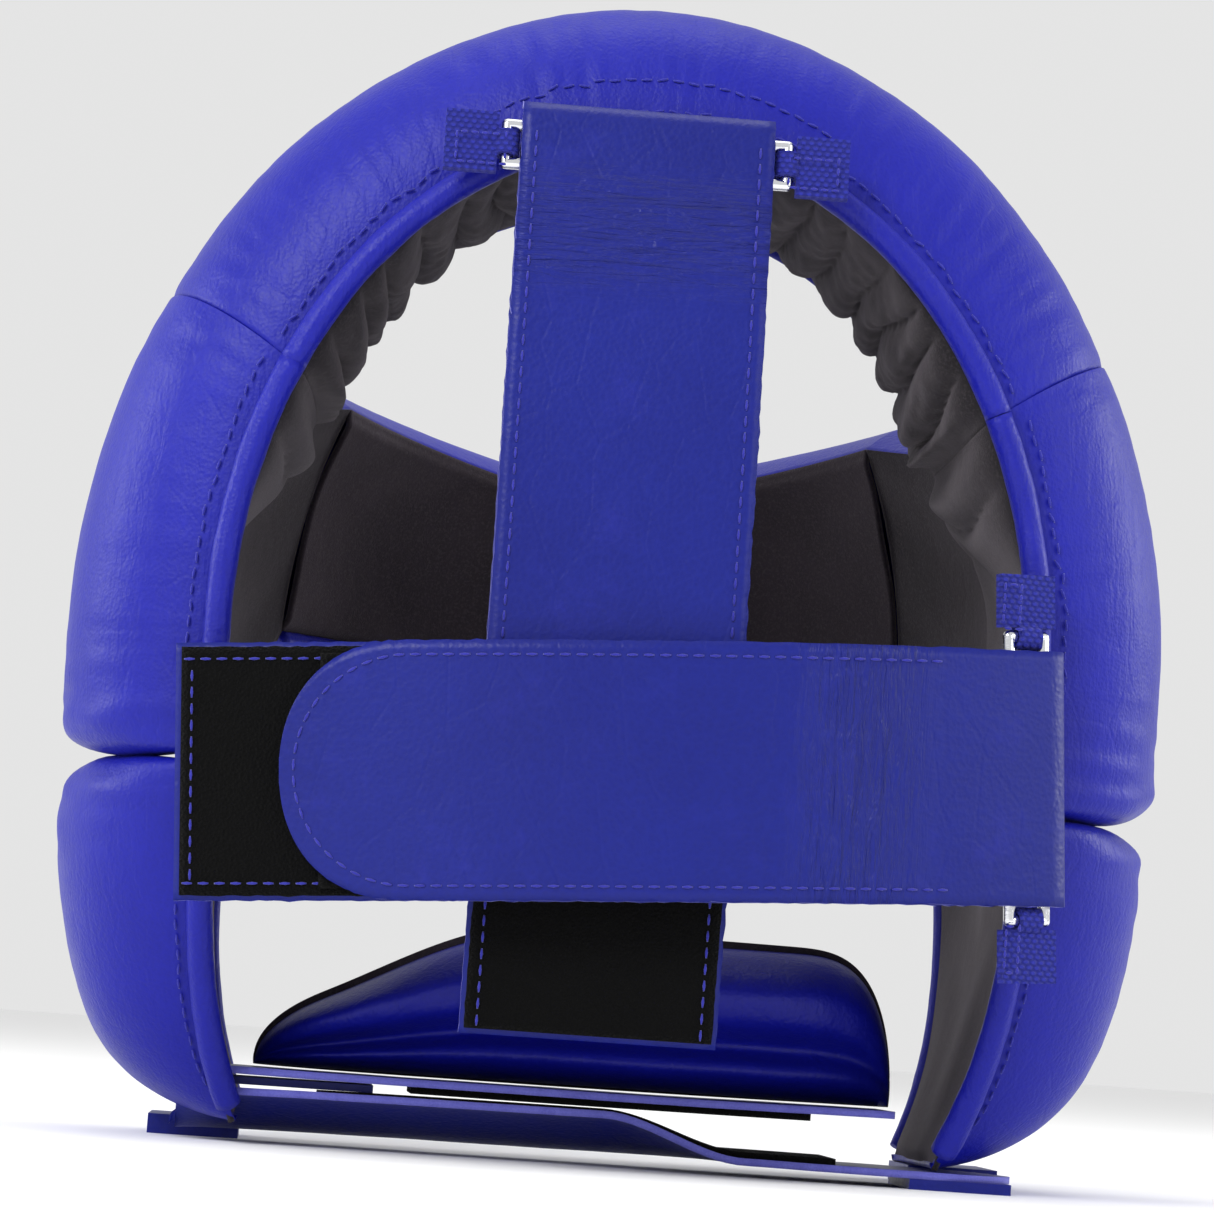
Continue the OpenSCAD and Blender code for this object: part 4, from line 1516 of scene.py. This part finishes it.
@dataclass
class Fittings:
    """Rings, webbing and corner leather, whose own shapes stay."""

    def dress(self, finishes: Finishes) -> None:
        """Gives each carried-over node its finish.

        Args:
            finishes: the materials.
        """
        plan = {finishes.chrome: ("crown_ring", "side_ring"),
                finishes.webbing: ("crown_tab_left", "crown_tab_right", "side_tab_upper", "side_tab_lower"),
                finishes.strap: ("left_corner_tab", "right_corner_tab", "left_base_patch",
                                 "right_base_patch")}
        for material, names in plan.items():
            for name in names:
                node = frame["nodes"][name]
                node.data.materials.clear()
                node.data.materials.append(material)
                log.info("fitting %s", name)
        for name in ("crown_tab_left", "crown_tab_right", "side_tab_upper", "side_tab_lower"):
            self.box_stitch(name, finishes)

    def box_stitch(self, name: str, finishes: Finishes) -> None:
        """Sews a square of stitches through a webbing tab.

        Args:
            name: the tab's node.
            finishes: the materials.
        """
        mesh = frame["nodes"][name].data
        place = frame["nodes"][name].matrix_world
        back = [f for f in mesh.polygons if (place.to_3x3() @ f.normal).y < -0.9]
        widest = max(back, key=lambda f: f.area)
        level = min((place @ mesh.vertices[i].co).y for i in widest.vertices)
        flat = [place @ v.co for v in mesh.vertices]
        patch = [p for p in flat if abs(p.y - level) < 0.0004]
        low = Vector((min(p.x for p in patch), level, min(p.z for p in patch)))
        high = Vector((max(p.x for p in patch), level, max(p.z for p in patch)))

        def face(s: float, q: float) -> Vector:
            """Place on the tab's rear face."""
            return Vector((lerp(low.x, high.x, s), level, lerp(low.z, high.z, q)))

        ring = [(0.16, 0.16), (0.84, 0.16), (0.84, 0.84), (0.16, 0.84), (0.16, 0.16)]
        sew(f"{name}_stitches", face, ring, finishes.thread, SHELL, 0.0002, Vector((0, -1, 0)),
            pitch=0.0022, length=0.0017)


@dataclass
class Studio:
    """Pale floor, soft lights and the camera."""

    azimuth: float = -3.5
    elevation: float = -5.0
    roll: float = 4.0
    distance: float = 1.10
    lens: float = 143.5
    target: Vector = field(default_factory=lambda: Vector((0.0, 0.0, 0.125)))

    def camera(self) -> None:
        """Places the camera behind the headgear, a little low and rolled."""
        data = bpy.data.cameras.new("camera")
        data.lens = self.lens
        data.sensor_width = 36.0
        camera = bpy.data.objects.new("camera", data)
        turn, tilt = math.radians(self.azimuth), math.radians(self.elevation)
        back = Vector((math.sin(turn) * math.cos(tilt), -math.cos(turn) * math.cos(tilt), math.sin(tilt)))
        look = (-back).to_track_quat("-Z", "Y").to_matrix()
        spin = Matrix.Rotation(math.radians(self.roll), 3, "Z")
        camera.matrix_world = Matrix.Translation(self.target + back * self.distance) @ (look @ spin).to_4x4()
        bpy.context.scene.collection.objects.link(camera)
        bpy.context.scene.camera = camera

    def lamp(self, name: str, place: tuple, size: float, power: float) -> None:
        """Adds one soft lamp aimed at the headgear.

        Args:
            name: its name.
            place: where it stands.
            size: its width.
            power: its strength in watts.
        """
        data = bpy.data.lights.new(name, "AREA")
        data.energy = power
        data.size = size
        lamp = bpy.data.objects.new(name, data)
        lamp.location = place
        lamp.rotation_euler = (self.target - Vector(place)).to_track_quat("-Z", "Y").to_euler()
        bpy.context.scene.collection.objects.link(lamp)

    def build(self, finishes: Finishes) -> None:
        """Builds the floor, lights and camera.

        Args:
            finishes: the materials.
        """
        bm = bmesh.new()
        bmesh.ops.create_grid(bm, x_segments=1, y_segments=1, size=6.0)
        floor = new_piece("floor", bm, finishes.stage)
        self.lamp("key_lamp", (-0.9, -1.3, 1.1), 0.6, 19)
        self.lamp("fill_lamp", (1.3, -1.0, 0.7), 0.8, 5)
        self.lamp("top_lamp", (0.0, 0.2, 1.7), 1.0, 6)
        self.lamp("side_lamp_left", (-1.3, 0.2, 0.5), 0.5, 6)
        self.lamp("side_lamp_right", (1.3, 0.3, 0.5), 0.5, 6)
        world = bpy.data.worlds.new("studio")
        world.use_nodes = True
        world.node_tree.nodes["Background"].inputs[0].default_value = (1, 1, 1, 1)
        world.node_tree.nodes["Background"].inputs[1].default_value = 0.78
        bpy.context.scene.world = world
        bpy.context.scene.view_settings.view_transform = "Standard"
        self.camera()


def main() -> None:
    """Builds the headgear in order."""
    logging.basicConfig(level=logging.INFO, format="%(message)s")
    finishes = Finishes()
    layers = Layers()
    Studio().build(finishes)
    Shell(HeadForm()).build(finishes)
    RearStrap(layers).build(finishes)
    CrownStrap(layers).build(finishes)
    ChinStraps(layers).build(finishes)
    ChinCup().build(finishes)
    Fittings().dress(finishes)


if __name__ == "__main__":
    main()
